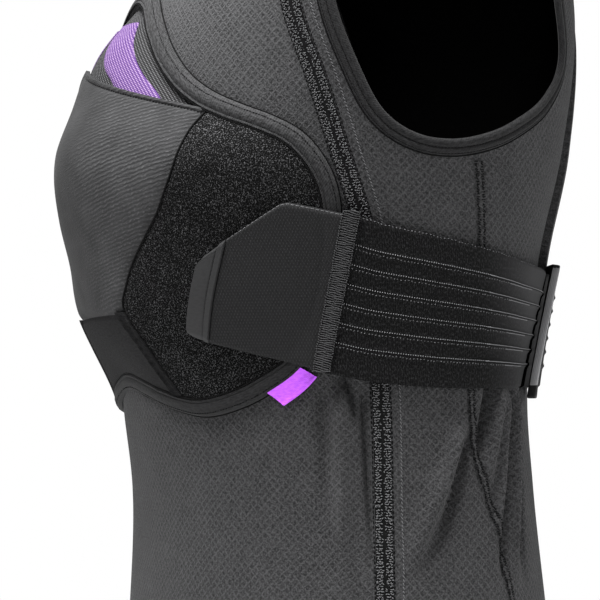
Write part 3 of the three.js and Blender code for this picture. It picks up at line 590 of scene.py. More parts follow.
@dataclass(frozen=True)
class RibKnit(Finish):
    """Knit with narrow wavy cross ribs that sink towards the centre front."""

    rise: float = 0.2
    sway_size: float = 5.0
    sway_height: float = 2.0
    shown_range: Range = (8.0, 50.0)
    fleck_size: Range = (1.8, 0.9)
    fleck_range: Range = (0.48, 0.72)
    shade_size: float = 20.0
    tone_shares: Shares = (0.16, 0.55, 0.42)
    height_shares: Shares = (0.6, 0.4)

    def pattern(self, shader: Shader) -> SocketPair:
        """Tone and height of the ribs and the loops along them."""
        u, v = shader.cloth()
        across = shader.math("ABSOLUTE", u)
        sway = shader.math("MULTIPLY", shader.noise(self.sway_size, detail=1.5), self.sway_height)
        course = shader.math("MULTIPLY_ADD", across, -self.rise, shader.math("ADD", v, sway))
        shown = shader.step(across, *self.shown_range)
        rib = shader.math("MULTIPLY", shader.wave(course, self.pitch), shown)
        fleck = shader.step(shader.yarn(u, course, *self.fleck_size), *self.fleck_range)
        lit = shader.math("MULTIPLY", rib, fleck)
        shade = shader.noise(self.shade_size, detail=1.0)
        return shader.blend(self.tone_shares, rib, lit, shade), shader.blend(self.height_shares, rib, fleck)


@dataclass(frozen=True)
class LoopPile(Finish):
    """Dense looped pile that the hook tab grips, with painted light that lightens its top."""

    loop_range: Range = (0.48, 0.68)
    brushed_heights: Range = (375.0, 425.0)
    brushed_gain: float = 0.75
    plain_gain: float = 0.25
    tuft_size: float = 12.0
    tuft_gain: float = 0.8
    level: float = 0.8

    def pattern(self, shader: Shader) -> SocketPair:
        """Tone and height of the loops."""
        v = shader.cloth()[1]
        loop = shader.step(shader.noise(self.pitch, detail=1.5, roughness=0.5), *self.loop_range)
        # Painted light: the pile is lightened along the top of the patch.
        pile_painted_light = shader.step(v, *self.brushed_heights)
        paler = shader.math("MULTIPLY_ADD", pile_painted_light, self.brushed_gain, self.plain_gain)
        tuft = shader.math("MULTIPLY_ADD", shader.noise(self.tuft_size, detail=1.0), self.tuft_gain, paler)
        return shader.math("MULTIPLY", loop, shader.math("MULTIPLY", tuft, self.level)), loop


@dataclass(frozen=True)
class Twill(Finish):
    """Tape woven with fine slanted ridges."""

    slope: float = 0.8
    fleck_size: Range = (2.6, 1.0)
    fleck_range: Range = (0.3, 0.7)
    tone_shares: Shares = (0.3, 0.7)
    height_shares: Shares = (0.5, 0.5)

    def pattern(self, shader: Shader) -> SocketPair:
        """Tone and height of the ridges."""
        u, v = shader.cloth()
        ridge = shader.wave(shader.math("MULTIPLY_ADD", v, self.slope, u), self.pitch)
        yarn = shader.step(shader.yarn(u, v, *self.fleck_size, detail=2.0), *self.fleck_range)
        return shader.blend(self.tone_shares, ridge, yarn), shader.blend(self.height_shares, ridge, yarn)


@dataclass(frozen=True)
class PadTape(Twill):
    """Twill tape of the pad's edge, with painted light that lightens its top."""

    pale_heights: Range = (-300.0, -215.0)
    pale_gain: float = 0.65
    plain_gain: float = 0.35

    def pattern(self, shader: Shader) -> SocketPair:
        """Tone and height of the ridges."""
        tone, relief = super().pattern(shader)
        # Painted light: lighter along the top of the pad's edge.
        pale = shader.step(shader.place()[1], *self.pale_heights)
        gain = shader.math("MULTIPLY_ADD", pale, self.pale_gain, self.plain_gain)
        return shader.math("MULTIPLY", tone, gain), relief


@dataclass(frozen=True)
class Elastic(Finish):
    """Woven elastic with fine upright cords, smoother and lighter towards the slider."""

    smooth_range: Range = (240.0, 310.0)
    smooth_gain: float = 1.2
    smooth_loss: float = 0.75
    fleck_size: Range = (0.7, 1.6)
    fleck_range: Range = (0.45, 0.75)
    weave_shares: Shares = (0.1, 0.5)

    def pattern(self, shader: Shader) -> SocketPair:
        """Tone and height of the cords and the weft."""
        u, v = shader.cloth()
        smooth = shader.step(shader.math("ABSOLUTE", u), *self.smooth_range)
        cord = shader.wave(u, self.pitch)
        fleck = shader.step(shader.yarn(u, v, *self.fleck_size), *self.fleck_range)
        weave = shader.blend(self.weave_shares, cord, fleck)
        left = shader.math("MULTIPLY", weave, shader.math("MULTIPLY_ADD", smooth, -self.smooth_loss, 1.0))
        return shader.math("MULTIPLY_ADD", smooth, self.smooth_gain, left), left


@dataclass(frozen=True)
class DashCloth(Finish):
    """Firm cloth with staggered upright dashes."""

    row_pitch: float = 3.1
    dash_width: Range = (0.32, 0.1)
    dash_length: Range = (0.18, 0.1)
    yarn_size: float = 1.2
    tone_shares: Shares = (0.6, 0.4)
    height_shares: Shares = (0.8, 0.2)

    def pattern(self, shader: Shader) -> SocketPair:
        """Tone and height of the dashes."""
        u, v = shader.cloth()
        column = shader.math("DIVIDE", u, self.pitch)
        odd = shader.math("MODULO", shader.math("FLOOR", column), 2.0)
        across = shader.math("PINGPONG", shader.math("ADD", column, 0.5), 0.5)
        row = shader.math("MULTIPLY_ADD", odd, 0.5, shader.math("DIVIDE", v, self.row_pitch))
        along = shader.math("PINGPONG", row, 0.5)
        dash = shader.math(
            "MULTIPLY", shader.step(across, *self.dash_width), shader.step(along, *self.dash_length)
        )
        yarn = shader.noise(self.yarn_size)
        return shader.blend(self.tone_shares, dash, yarn), shader.blend(self.height_shares, dash, yarn)


@dataclass(frozen=True)
class MeshCloth(Finish):
    """Open mesh with slanted rows of small raised dots."""

    knot_slope: float = 0.4
    knot_share: float = 0.75
    dot_range: Range = (0.12, 0.6)
    fleck_size: float = 1.4
    tone_shares: Shares = (0.8, 0.2)

    def pattern(self, shader: Shader) -> SocketPair:
        """Tone and height of the strands."""
        u, v = shader.cloth()
        row = shader.wave(shader.math("ADD", u, v), self.pitch)
        knot = shader.wave(shader.math("MULTIPLY_ADD", u, -self.knot_slope, v), self.pitch * self.knot_share)
        dot = shader.step(shader.math("MULTIPLY", row, knot), *self.dot_range)
        return shader.blend(self.tone_shares, dot, shader.noise(self.fleck_size, detail=1.0)), dot


@dataclass(frozen=True)
class Moulded(Finish):
    """Moulded plastic with fine lengthwise grooves."""

    grain_size: float = 0.6
    tone_shares: Shares = (0.4, 0.6)
    height_shares: Shares = (0.6, 0.4)

    def pattern(self, shader: Shader) -> SocketPair:
        """Tone and height of the grooves and the grain."""
        groove = shader.wave(shader.cloth()[1], self.pitch)
        grain = shader.noise(self.grain_size)
        return shader.blend(self.tone_shares, groove, grain), shader.blend(self.height_shares, groove, grain)


COLD_CAST = 1.03


def grey(level: float) -> Triple:
    """Grey with a slight cold cast."""
    return (level, level, level * COLD_CAST)


def greys(kind: type[Finish], name: str, dark: float, light: float, **surface: float) -> Material:
    """Material of a finish between two greys."""
    return kind(name, grey(dark), grey(light), **surface).material()


class FinishSet:
    """Materials of all pieces."""

    PURPLE_MESH = (0.034, 0.0085, 0.085), (0.27, 0.185, 0.31)
    PURPLE_TAPE = (0.36, 0.068, 0.66), (0.52, 0.122, 0.84)

    def __init__(self) -> None:
        """Makes each material once."""
        worn = {"sheen": 0.03}
        tape = {"relief": 0.15, "pitch": 1.5, **worn}
        thread = {"relief": 0.15, "roughness": 0.7, "pitch": 0.6}
        web = {"relief": 0.2, "roughness": 1.0, "pitch": 1.2}
        mould = {"relief": 0.12, "pitch": 0.9}
        self.knit = greys(GridKnit, "grid_knit", 0.007, 0.05, roughness=0.9, pitch=4.8, **worn)
        # Near-black inner face: painted shade of the vest's dark inside; the belt also takes it as a painted
        # shadow by the slider.
        self.lining = greys(Finish, "vest_lining", 0.0002, 0.001, gloss=0.0, **web)
        self.rib = greys(RibKnit, "cross_rib_knit", 0.01, 0.057, roughness=0.9, pitch=2.3, **worn)
        self.pile = greys(LoopPile, "loop_pile", 0.001, 0.083, relief=0.9, roughness=1.0, pitch=0.75)
        self.twill = greys(Twill, "binding_twill", 0.0055, 0.019, **tape)
        self.pad_tape = greys(PadTape, "pad_tape", 0.0055, 0.044, **tape)
        self.under = greys(Twill, "under_panel_cloth", 0.0045, 0.0145, relief=0.2, roughness=0.9, pitch=1.3)
        # Near-black base under the front seams' loops and the joint's threads: painted shade between them.
        self.seam_web = greys(Finish, "seam_web", 0.001, 0.008, **web)
        self.elastic = greys(Elastic, "ribbed_elastic", 0.0015, 0.027, relief=0.25, pitch=1.2)
        self.dash = greys(DashCloth, "hook_tab_cloth", 0.005, 0.03, relief=0.25, roughness=0.75, pitch=0.78)
        self.tip = greys(Twill, "tab_end_cloth", 0.014, 0.019, relief=0.06, roughness=0.65, gloss=0.15)
        self.pale_thread = greys(Finish, "pale_thread", 0.1, 0.24, **thread)
        self.grey_thread = greys(Finish, "grey_thread", 0.05, 0.14, **thread)
        self.band_thread = greys(Finish, "band_thread", 0.016, 0.07, **thread)
        self.dark_thread = greys(Finish, "dark_thread", 0.001, 0.005, relief=0.15, roughness=0.9, pitch=0.6)
        self.plastic = greys(Moulded, "slider_plastic", 0.12, 0.19, roughness=0.5, gloss=0.3, **mould)
        # Near-black plastic of the slider's end bars, also used as painted shade on its walls that face into
        # the slot and down.
        self.plastic_end = greys(Moulded, "slider_end", 0.003, 0.01, roughness=0.6, gloss=0.1, **mould)
        mesh = MeshCloth("purple_mesh", *self.PURPLE_MESH, relief=0.3, pitch=1.9)
        self.purple_mesh = mesh.material()
        self.black_mesh = greys(MeshCloth, "insert_mesh", 0.002, 0.1, roughness=0.9, pitch=1.9)
        ribbon = Twill("purple_tape", *self.PURPLE_TAPE, relief=0.15, roughness=0.7, pitch=0.9)
        self.purple_tape = ribbon.material()


# Geometry Nodes: thread along paths.


@dataclass(frozen=True)
class Stitch:
    """Size and lie of the stitches of a row."""

    spacing: float
    length: float
    width: float
    height: float
    turn: float = 0.0
    jitter: float = 0.0
    scatter: float = 0.0


class Sewing(Enum):
    """Kinds of stitch rows: spacing, length, width and height, then turn, jitter and scatter."""

    SEAM_LOOP = Stitch(1.4, 1.3, 0.6, 0.6, 90, 60, 0.4)
    SEAM_EDGE = Stitch(2.0, 2.0, 0.5, 0.4, 26, 10)
    TOPSTITCH = Stitch(2.6, 2.0, 0.9, 0.5, 0, 6)
    SIDE_LOOP = Stitch(1.35, 1.6, 0.7, 0.6, 60, 45, 0.3)
    BINDING = Stitch(1.9, 1.4, 0.7, 0.5)
    HEM = Stitch(3.4, 2.3, 0.8, 0.6)
    MOUTH = Stitch(2.3, 1.4, 0.9, 0.7, 24, 16)
    PAD_EDGE = Stitch(1.9, 1.3, 0.7, 0.5, 0, 14, 0.15)
    BEAD = Stitch(1.35, 0.62, 0.62, 0.6, 0, 10)
    KNOT = Stitch(1.9, 0.9, 0.55, 0.5, 20, 25, 0.25)
    BELT_EDGE = Stitch(2.1, 1.1, 0.5, 0.5, 0, 20, 0.3)
    TAB_END = Stitch(2.3, 1.5, 0.7, 0.5)
    TAB_EDGE = Stitch(2.6, 2.4, 0.45, 0.45, 0, 4)
    JOINT = Stitch(1.15, 6.2, 0.62, 0.7, 90, 7, 0.12)
    JOINT_BORDER = Stitch(1.3, 1.2, 0.6, 0.7, 50, 40, 0.2)


class PathTree:
    """Geometry Nodes tree that makes thread along the edges of a mesh."""

    SEED = 7

    def __init__(self, name: str, sizes: Sequence[str]) -> None:
        """Makes the tree's inputs and the nodes that read the path.

        Args:
            name: Name of the tree.
            sizes: Names of its number inputs.
        """
        self.tree = bpy.data.node_groups.new(name, "GeometryNodeTree")
        interface = self.tree.interface
        interface.new_socket("Geometry", in_out="OUTPUT", socket_type="NodeSocketGeometry")
        interface.new_socket("Geometry", in_out="INPUT", socket_type="NodeSocketGeometry")
        self.inputs = {}
        for size in sizes:
            socket = interface.new_socket(size, in_out="INPUT", socket_type="NodeSocketFloat")
            self.inputs[size] = socket.identifier
        socket = interface.new_socket("Material", in_out="INPUT", socket_type="NodeSocketMaterial")
        self.inputs["Material"] = socket.identifier
        self.entry = self.node("NodeGroupInput")
        curve = self.node("GeometryNodeMeshToCurve", {0: self.entry.outputs["Geometry"]})
        spaced = {"Curve": curve.outputs[0], "Length": self.entry.outputs["Spacing"]}
        self.path = self.node("GeometryNodeResampleCurve", spaced, mode="LENGTH").outputs[0]

    def node(self, kind: str, inputs: dict | None = None, **settings: object) -> bpy.types.Node:
        """Adds a node with its inputs and properties."""
        return add_node(self.tree, kind, inputs or {}, settings)

    def close(self, geometry: Socket) -> None:
        """Ends the tree with realized geometry in the chosen material."""
        real = self.node("GeometryNodeRealizeInstances", {0: geometry}).outputs[0]
        smooth = self.node("GeometryNodeSetShadeSmooth", {"Geometry": real}).outputs[0]
        dressed = {"Geometry": smooth, "Material": self.entry.outputs["Material"]}
        final = self.node("GeometryNodeSetMaterial", dressed).outputs[0]
        self.node("NodeGroupOutput", {0: final})

    def bake(self, name: str, lines: Sequence[Line], values: dict) -> Piece:
        """Plain mesh object of the thread along some lines.

        Args:
            name: Name of the piece.
            lines: Points and outward directions of each line, in millimetres.
            values: Value of each input, by its name.

        Returns:
            The object, at the origin.
        """
        points = np.concatenate([line[0] for line in lines]) * METRES
        outward = np.concatenate([line[1] for line in lines])
        edges = []
        start = 0
        for line, _ in lines:
            edges += [(k, k + 1) for k in range(start, start + len(line) - 1)]
            start += len(line)
        mesh = bpy.data.meshes.new(name + "_path")
        mesh.from_pydata(points.tolist(), edges, [])
        attribute = mesh.attributes.new("outward", "FLOAT_VECTOR", "POINT")
        attribute.data.foreach_set("vector", outward.astype(np.float32).ravel())
        path = link(name + "_path", mesh)
        modifier = path.modifiers.new("thread", "NODES")
        modifier.node_group = self.tree
        for key, value in values.items():
            modifier[self.inputs[key]] = value
        sewn = path.evaluated_get(bpy.context.evaluated_depsgraph_get())
        baked = bpy.data.meshes.new_from_object(sewn)
        baked.name = name
        path.modifiers.remove(modifier)
        bpy.data.objects.remove(path)
        bpy.data.meshes.remove(mesh)
        return link(name, baked)


class StitchTree(PathTree):
    """Stitches laid along a path, each a small rounded bar."""

    def __init__(self) -> None:
        """Builds the tree."""
        super().__init__("stitch_row", ("Spacing", "Length", "Width", "Height", "Turn", "Jitter", "Scatter"))
        entry = self.entry.outputs
        reach = self.node("ShaderNodeCombineXYZ", {axis: entry["Scatter"] for axis in range(3)}).outputs[0]
        back = self.node("ShaderNodeVectorMath", {0: reach, "Scale": -1.0}, operation="SCALE").outputs[0]
        range_of_drift = {0: back, 1: reach, "Seed": self.SEED}
        drift = self.node("FunctionNodeRandomValue", range_of_drift, data_type="FLOAT_VECTOR").outputs[0]
        strayed = self.node("GeometryNodeSetPosition", {"Geometry": self.path, "Offset": drift}).outputs[0]
        halves = [
            self.node("ShaderNodeMath", {0: entry[key], 1: 0.5}, operation="MULTIPLY").outputs[0]
            for key in ("Length", "Width", "Height")
        ]
        scale = self.node("ShaderNodeCombineXYZ", dict(enumerate(halves))).outputs[0]
        ball = self.node("GeometryNodeMeshUVSphere", {"Segments": 6, "Rings": 4, "Radius": 1.0}).outputs[0]
        bar = self.node("GeometryNodeTransform", {"Geometry": ball, "Scale": scale}).outputs[0]
        tangent = self.node("GeometryNodeInputTangent").outputs[0]
        outward = self.node("GeometryNodeInputNamedAttribute", {"Name": "outward"}, data_type="FLOAT_VECTOR")
        along = self.node("FunctionNodeAlignRotationToVector", {"Vector": tangent}, axis="X")
        facing = {"Rotation": along.outputs[0], "Vector": outward.outputs[0]}
        up = self.node("FunctionNodeAlignRotationToVector", facing, axis="Z", pivot_axis="X")
        least = self.node("ShaderNodeMath", {0: entry["Jitter"], 1: -1.0}, operation="MULTIPLY").outputs[0]
        chance = self.node("FunctionNodeRandomValue", {2: least, 3: entry["Jitter"], "Seed": self.SEED})
        angle = self.node("ShaderNodeMath", {0: entry["Turn"], 1: chance.outputs[1]}).outputs[0]
        spin = self.node("FunctionNodeAxisAngleToRotation", {"Axis": (0, 0, 1), "Angle": angle}).outputs[0]
        turned = {"Rotation": up.outputs[0], "Rotate By": spin}
        lie = self.node("FunctionNodeRotateRotation", turned, rotation_space="LOCAL").outputs[0]
        laid = {"Points": strayed, "Instance": bar, "Rotation": lie}
        self.close(self.node("GeometryNodeInstanceOnPoints", laid).outputs[0])

    def sew(self, name: str, lines: Sequence[Line], stitch: Stitch, look: Material) -> Piece:
        """Object of the stitches along some lines."""
        values = {"Material": look}
        for size in ("spacing", "length", "width", "height", "scatter"):
            values[size.title()] = getattr(stitch, size) * METRES
        for turn in ("turn", "jitter"):
            values[turn.title()] = math.radians(getattr(stitch, turn))
        return self.bake(name, lines, values)


class CordTree(PathTree):
    """Round cord laid along a path."""

    STEP = 2.5

    def __init__(self) -> None:
        """Builds the tree."""
        super().__init__("laid_cord", ("Spacing", "Radius"))
        circle = {"Resolution": 8, "Radius": self.entry.outputs["Radius"]}
        profile = self.node("GeometryNodeCurvePrimitiveCircle", circle).outputs[0]
        swept = {"Curve": self.path, "Profile Curve": profile, "Fill Caps": True}
        self.close(self.node("GeometryNodeCurveToMesh", swept).outputs[0])

    def lay(self, name: str, lines: Sequence[Line], radius: float, look: Material) -> Piece:
        """Object of the cords along some lines."""
        values = {"Spacing": self.STEP * METRES, "Radius": radius * METRES, "Material": look}
        return self.bake(name, lines, values)


@dataclass
class Workshop:
    """Finishes and thread tools that the sub-assemblies share."""

    looks: FinishSet = field(default_factory=FinishSet)
    stitches: StitchTree = field(default_factory=StitchTree)
    cords: CordTree = field(default_factory=CordTree)


@dataclass
class Assembly:
    """Group of pieces made with the workshop's finishes and thread tools."""

    shop: Workshop

    @property
    def looks(self) -> FinishSet:
        """Materials of all pieces."""
        return self.shop.looks

    def sew(self, name: str, lines: Sequence[Line], kind: Sewing, look: Material) -> None:
        """Adds a piece of stitches along some lines."""
        adopt(self.shop.stitches.sew(name, lines, kind.value, look), Slot.THREAD)

    def lay(self, name: str, lines: Sequence[Line], radius: float, look: Material) -> None:
        """Adds a piece of cords along some lines."""
        adopt(self.shop.cords.lay(name, lines, radius, look), Slot.THREAD)


def torso_line(turn: Array, z: Array, lift: Array, side: Side = Side.LEFT) -> Line:
    """Line on the torso form with its outward directions, on one side of the wearer."""
    turn, z, lift = np.broadcast_arrays(np.asarray(turn, float), z, lift)
    flip = (side.value, 1, 1)
    return TORSO.place(turn, z, lift) * flip, TORSO.normal(turn, z) * flip


def closed_line(line: Line) -> Line:
    """Line with its first point added at the end."""
    return np.concatenate((line[0], line[0][:1])), np.concatenate((line[1], line[1][:1]))


# The vest.


@dataclass(frozen=True)
class Fold:
    """Fold in the cloth that runs from one place to another and fades out."""

    from_turn: float
    to_turn: float
    from_z: float
    to_z: float
    half_width: float
    height: float
    rise_share: float = 0.15
    fall_share: float = 0.5

    def relief(self, side_turn: Array, z: Array) -> Array:
        """How far the fold pushes the cloth out."""
        along = (self.from_z - z) / (self.from_z - self.to_z)
        middle = lerp(self.from_turn, self.to_turn, along)
        across = (side_turn - middle) * MM_PER_DEGREE / self.half_width
        fade = smoothstep(along, 0, self.rise_share) * (1 - smoothstep(along, self.fall_share, 1))
        return self.height * np.exp(-across * across) * fade


@dataclass
class EdgePath:
    """Closed path of an opening's edge on the torso."""

    turn: Array
    z: Array

    def frames(self) -> tuple[Array, Array, Array]:
        """Points, normals and ways across from the opening."""
        points = TORSO.point(self.turn, self.z)
        normals = TORSO.normal(self.turn, self.z)
        along = unit(np.roll(points, -1, axis=0) - np.roll(points, 1, axis=0))
        return points, normals, unit(np.cross(along, normals))

    def offset(self, across: float, lift: float, side: Side) -> Line:
        """Line beside the edge on one side of the wearer, with its outward directions."""
        points, normals, sideways = self.frames()
        flip = (side.value, 1, 1)
        return closed_line(((points + sideways * across + normals * lift) * flip, normals * flip))


def armhole_path(count: int = 260) -> EdgePath:
    """Edge of the armhole on the wearer's left."""
    turns_and_heights = (
        (90.5, -244), (100, -239), (108.5, -230), (119, -214), (125.5, -192), (121.5, -160), (118.5, -115),
        (114, -75), (104, -52), (90, -42), (77, -50), (67, -75), (61, -115), (61.5, -160), (68.8, -205),
        (75, -230), (82, -241),
    )
    curve = closed_curve(np.array(turns_and_heights) * (MM_PER_DEGREE, 1), count)
    return EdgePath(curve[:, 0] / MM_PER_DEGREE, curve[:, 1])


def neck_path(count: int = 240) -> EdgePath:
    """Edge of the neck opening, from the centre front round to the left."""
    shoulder_z, front_drop, back_drop, roundness = -5, 97, 26, 1.6
    angle = np.linspace(0, 2 * math.pi, count, endpoint=False)
    ahead = np.cos(angle) > 0
    z = shoulder_z - np.where(ahead, front_drop, back_drop) * np.abs(np.cos(angle)) ** roundness
    half = TORSO.half_width(shoulder_z) / TORSO.half_width(z)
    square = np.where(ahead, TORSO.front_square(z), TORSO.back_square(z))
    turn = np.degrees(np.arcsin(np.clip(signed_power(half * np.sin(angle), square / 2), -1, 1)))
    return EdgePath(np.where(ahead, turn, 180 - turn), z)


def inside(outline: Array, places: Array) -> Array:
    """Whether each place lies inside a closed outline in the plane."""
    x, y = places[:, :1], places[:, 1:]
    x1, y1 = outline[:, 0], outline[:, 1]
    x2, y2 = np.roll(x1, -1), np.roll(y1, -1)
    level = np.where(y2 == y1, 1e-9, y2 - y1)
    crossed = ((y1 > y) != (y2 > y)) & (x < x1 + (x2 - x1) * (y - y1) / level)
    return crossed.sum(axis=1) % 2 == 1


@dataclass(frozen=True)
class SeamRow:
    """Rows of stitches along a seam: their places across it, and their lift."""

    ending: str
    columns: Shares
    lift: float
    kind: Sewing
    dark: bool = False


@dataclass
class VestBody(Assembly):
    """Sleeveless vest: four panels of grid knit, their seams, bindings and hem."""

    BINDING_SECTION = (
        (-0.9, 0.5), (-0.7, 1.7), (0.2, 2.7), (1.4, 3.1), (2.8, 2.9), (3.6, 2.2), (3.9, 1.9), (4.2, 2.2),
        (5.0, 2.8), (6.1, 2.8), (6.8, 2.2), (7.0, 1.9), (7.4, 2.1), (8.0, 1.7), (7.6, 0.3), (1.5, -0.9),
    )
    HEM_SECTION = (
        (-617, 1.8), (-618.5, 2.4), (-622, 2.5), (-623.4, 2.1), (-624.8, 2.5), (-627, 2.4), (-628.4, 2.0),
        (-629.8, 2.4), (-635, 2.6), (-639, 2.2), (-640.4, 1.1), (-639, 0.0), (-628, -0.4), (-617, -0.2),
    )
    FRONT_ROWS = (
        SeamRow("_loops", (-4.7, -3.6, -2.5, -1.4, 1.4, 2.5, 3.6, 4.7), 1.1, Sewing.SEAM_LOOP),
        SeamRow("_edge", (12.2,), 0.1, Sewing.SEAM_EDGE),
        SeamRow("_topstitch", (-6.4, 6.4), 0.1, Sewing.TOPSTITCH, dark=True),
    )
    front_seam = SmoothTable(
        (-618, -530, -445, -372, -283, -250, -212, -165, -130),
        (74, 76, 77.6, 77.2, 71, 66, 60.3, 52.4, 49.5),
    )
    side_seam = SmoothTable(
        (-618, -530, -447, -420, -392, -297, -252), (116, 113.5, 106.8, 102.2, 100.5, 101, 97.5)
    )
    armhole = armhole_path()
    neck = neck_path()
    SIDE_ROWS = (SeamRow("_loops", (-2.5, -1.5, 1.5, 2.5), 1.0, Sewing.SIDE_LOOP, dark=True),)

    wall: float = 1.6
    mesh_step: float = 4.0
    low_z: float = -619
    high_z: float = -5
    side_top_z: float = -118
    shoulder_turn: float = 90
    front_shoulder: Range = (-152, -90)
    back_shoulder: Range = (-200, -80)
    front_seam_top: float = -137
    side_seam_top: float = -254
    cut_margin: float = 4.0
    seam_sink: float = 0.7
    sink_half: float = 5
    front_band: float = 11.4
    side_band: float = 6
    band_crown: float = 1.1
    band_depth: float = 0.4
    groove_columns: Range = (3.9, 7.0)
    groove_lift: float = 1.95
    shadow_column: float = 8.5
    shadow_lift: float = 1.5
    shadow_radius: float = 0.4
    hem_grooves: Range = (-623.4, -628.4)
    hem_stitch_lift: float = 2.15
    folds: tuple[Fold, ...] = (
        Fold(64.5, 64.5, -370, -450, 6, -3.2),
        Fold(67.6, 68, -370, -490, 6, 5.5),
        Fold(68.4, 72.4, -366, -398, 2.6, -6),
        Fold(73.2, 75, -368, -480, 2.6, -5),
        Fold(97, 82, -392, -480, 6.5, 6.5),
        Fold(100, 84.6, -396, -480, 4.5, -5.5),
        Fold(108.6, 101.5, -366, -420, 4.2, -6.2),
        Fold(112.6, 102, -370, -440, 6, 6),
        Fold(115.8, 104.4, -370, -480, 4.6, 5),
        Fold(119.6, 107, -366, -490, 3.8, -6.6),
        Fold(123, 113.6, -370, -490, 4.2, 4.2),
        Fold(126.6, 117.4, -372, -490, 3.8, -5.4),
    )

    def relief(self, turn: Array, z: Array) -> Array:
        """How far the folds push the cloth out, alike on both sides."""
        side_turn = np.where(np.abs(turn) > 180, 360 - np.abs(turn), np.abs(turn))
        total = sum(fold.relief(side_turn, z) for fold in self.folds)
        for seam in (self.front_edge, self.side_seam):
            across = (side_turn - seam(z)) * MM_PER_DEGREE
            total = total - self.seam_sink * bump(across, 0, self.sink_half)
        return total

    def front_edge(self, z: Array) -> Array:
        """Front panel's side edge: the front seam, then the shoulder line."""
        return lerp(self.front_seam(z), self.shoulder_turn, smoothstep(z, *self.front_shoulder))

    def back_edge(self, z: Array) -> Array:
        """Back panel's side edge: the side seam, then the shoulder line."""
        return lerp(self.side_seam(z), self.shoulder_turn, smoothstep(z, *self.back_shoulder))

    def opening(self, turn: Array, z: Array, points: Array) -> Array:
        """Whether each place lies in an opening or under the inner part of its binding."""
        side_turn = np.where(turn > 180, 360 - turn, np.abs(turn))
        outline = np.column_stack((self.armhole.turn * MM_PER_DEGREE, self.armhole.z))
        cut = inside(outline, np.column_stack((side_turn * MM_PER_DEGREE, z)))
        ahead = np.cos(np.radians(turn)) > 0
        quarter = len(self.neck.z) // 4
        front, back = slice(0, quarter + 1), slice(quarter, 2 * quarter + 1)
        front_z = np.interp(side_turn, self.neck.turn[front], self.neck.z[front])
        back_z = np.interp(side_turn, self.neck.turn[back], self.neck.z[back])
        cut |= z > np.where(ahead, front_z, back_z)
        near = np.column_stack((np.abs(points[:, 0]), points[:, 1:]))
        for path in (self.armhole, self.neck):
            edge = TORSO.point(path.turn, path.z)
            gaps = np.linalg.norm(near[:, None, :] - edge[None, :, :], axis=-1).min(axis=1)
            cut |= gaps < self.cut_margin
        return cut

    def panel(
        self, name: str, edges: tuple[Callable, Callable], top_z: float, columns: int, side: Side = Side.LEFT
    ) -> tuple[Piece, float]:
        """Panel between two edges, with the openings cut out.

        Args:
            name: Name of its solid.
            edges: Turn of the first and the last edge at a height.
            top_z: Height of its top before cutting.
            columns: Number of mesh columns.
            side: Side of the wearer.

        Returns:
            The object and its cloth area in square metres.
        """
        rows = int((top_z - self.low_z) / self.mesh_step)
        z = np.linspace(self.low_z, top_z, rows + 1)[:, None]
        share = np.linspace(0, 1, columns + 1)[None, :]
        turn = lerp(edges[0](z), edges[1](z), share)
        z = np.broadcast_to(z, turn.shape)
        relief = self.relief(turn, z)
        cloth = Patch.grid(TORSO.place(turn, z, self.wall + relief), TORSO.cloth(turn, z))
        middles = np.column_stack([grid.ravel()[cloth.faces].mean(axis=1) for grid in (turn, z)])
        cut = self.opening(middles[:, 0], middles[:, 1], cloth.centres())
        cloth = cloth.keep(~cut)
        area = cloth.area()
        # The inner side takes the near-black inner-face material, painted shade of the vest's inside.
        wall = cloth.thick(TORSO.place(turn, z, relief), inner_look=1).mirrored(side)
        made = wall.build("vest_" + name, (self.looks.knit, self.looks.lining))
        return adopt(made, Slot.KNIT, name), area

    def panels(self) -> None:
        """Front, back and side panels."""
        edges = (lambda z: -self.front_edge(z), self.front_edge)
        front, area = self.panel("front_panel", edges, self.high_z, columns=290)
        edges = (self.back_edge, lambda z: 360 - self.back_edge(z))
        back, area = self.panel("back_panel", edges, self.high_z, columns=270)
        for side in Side:
            edges = (self.front_edge, self.back_edge)
            name = f"side_panel_{side.word}"
            made, area = self.panel(name, edges, self.side_top_z, columns=70, side=side)

    def seam_base(
        self, name: str, seam: Callable, width: float, top_z: float, side: Side, look: Material
    ) -> None:
        """Flat band under the stitches of a seam."""
        z = np.linspace(self.low_z, top_z, num=170)[:, None]
        across = np.linspace(-0.5, 0.5, num=9)[None, :] * width
        turn = seam(z) + across / MM_PER_DEGREE
        level = self.wall + self.relief(turn, z)
        crown = self.band_crown * (1 - (2 * across / width) ** 4)
        band = torso_slab(turn, z, level + crown, level - self.band_depth)
        adopt(band.mirrored(side).build(name + "_band", (look,)), Slot.KNIT, name)

    def seam_threads(
        self, name: str, seam: Callable, rows: Sequence[SeamRow], z: Array, side: Side
    ) -> None:
        """Rows of stitches along a seam."""
        looks = self.looks
        for row in rows:
            turns = [seam(z) + across / MM_PER_DEGREE for across in row.columns]
            lines = [
                torso_line(turn, z, self.wall + self.relief(turn, z) + row.lift, side) for turn in turns
            ]
            look = looks.dark_thread if row.dark else looks.grey_thread
            self.sew(name + row.ending, lines, row.kind, look)

    def seams(self) -> None:
        """Flat-sewn seams with their loops, and the topstitching beside the front ones."""
        looks = self.looks
        for side in Side:
            front, rear = f"front_seam_{side.word}", f"side_seam_{side.word}"
            # The front seam's near-black base is painted shade between its loops.
            self.seam_base(front, self.front_edge, self.front_band, self.front_seam_top, side, looks.seam_web)
            self.seam_base(rear, self.side_seam, self.side_band, self.side_seam_top, side, looks.knit)
            z = np.linspace(self.low_z, self.front_seam_top, num=300)
            self.seam_threads(front, self.front_edge, self.FRONT_ROWS, z, side)
            z = np.linspace(self.low_z, self.side_seam_top, num=260)
            self.seam_threads(rear, self.side_seam, self.SIDE_ROWS, z, side)

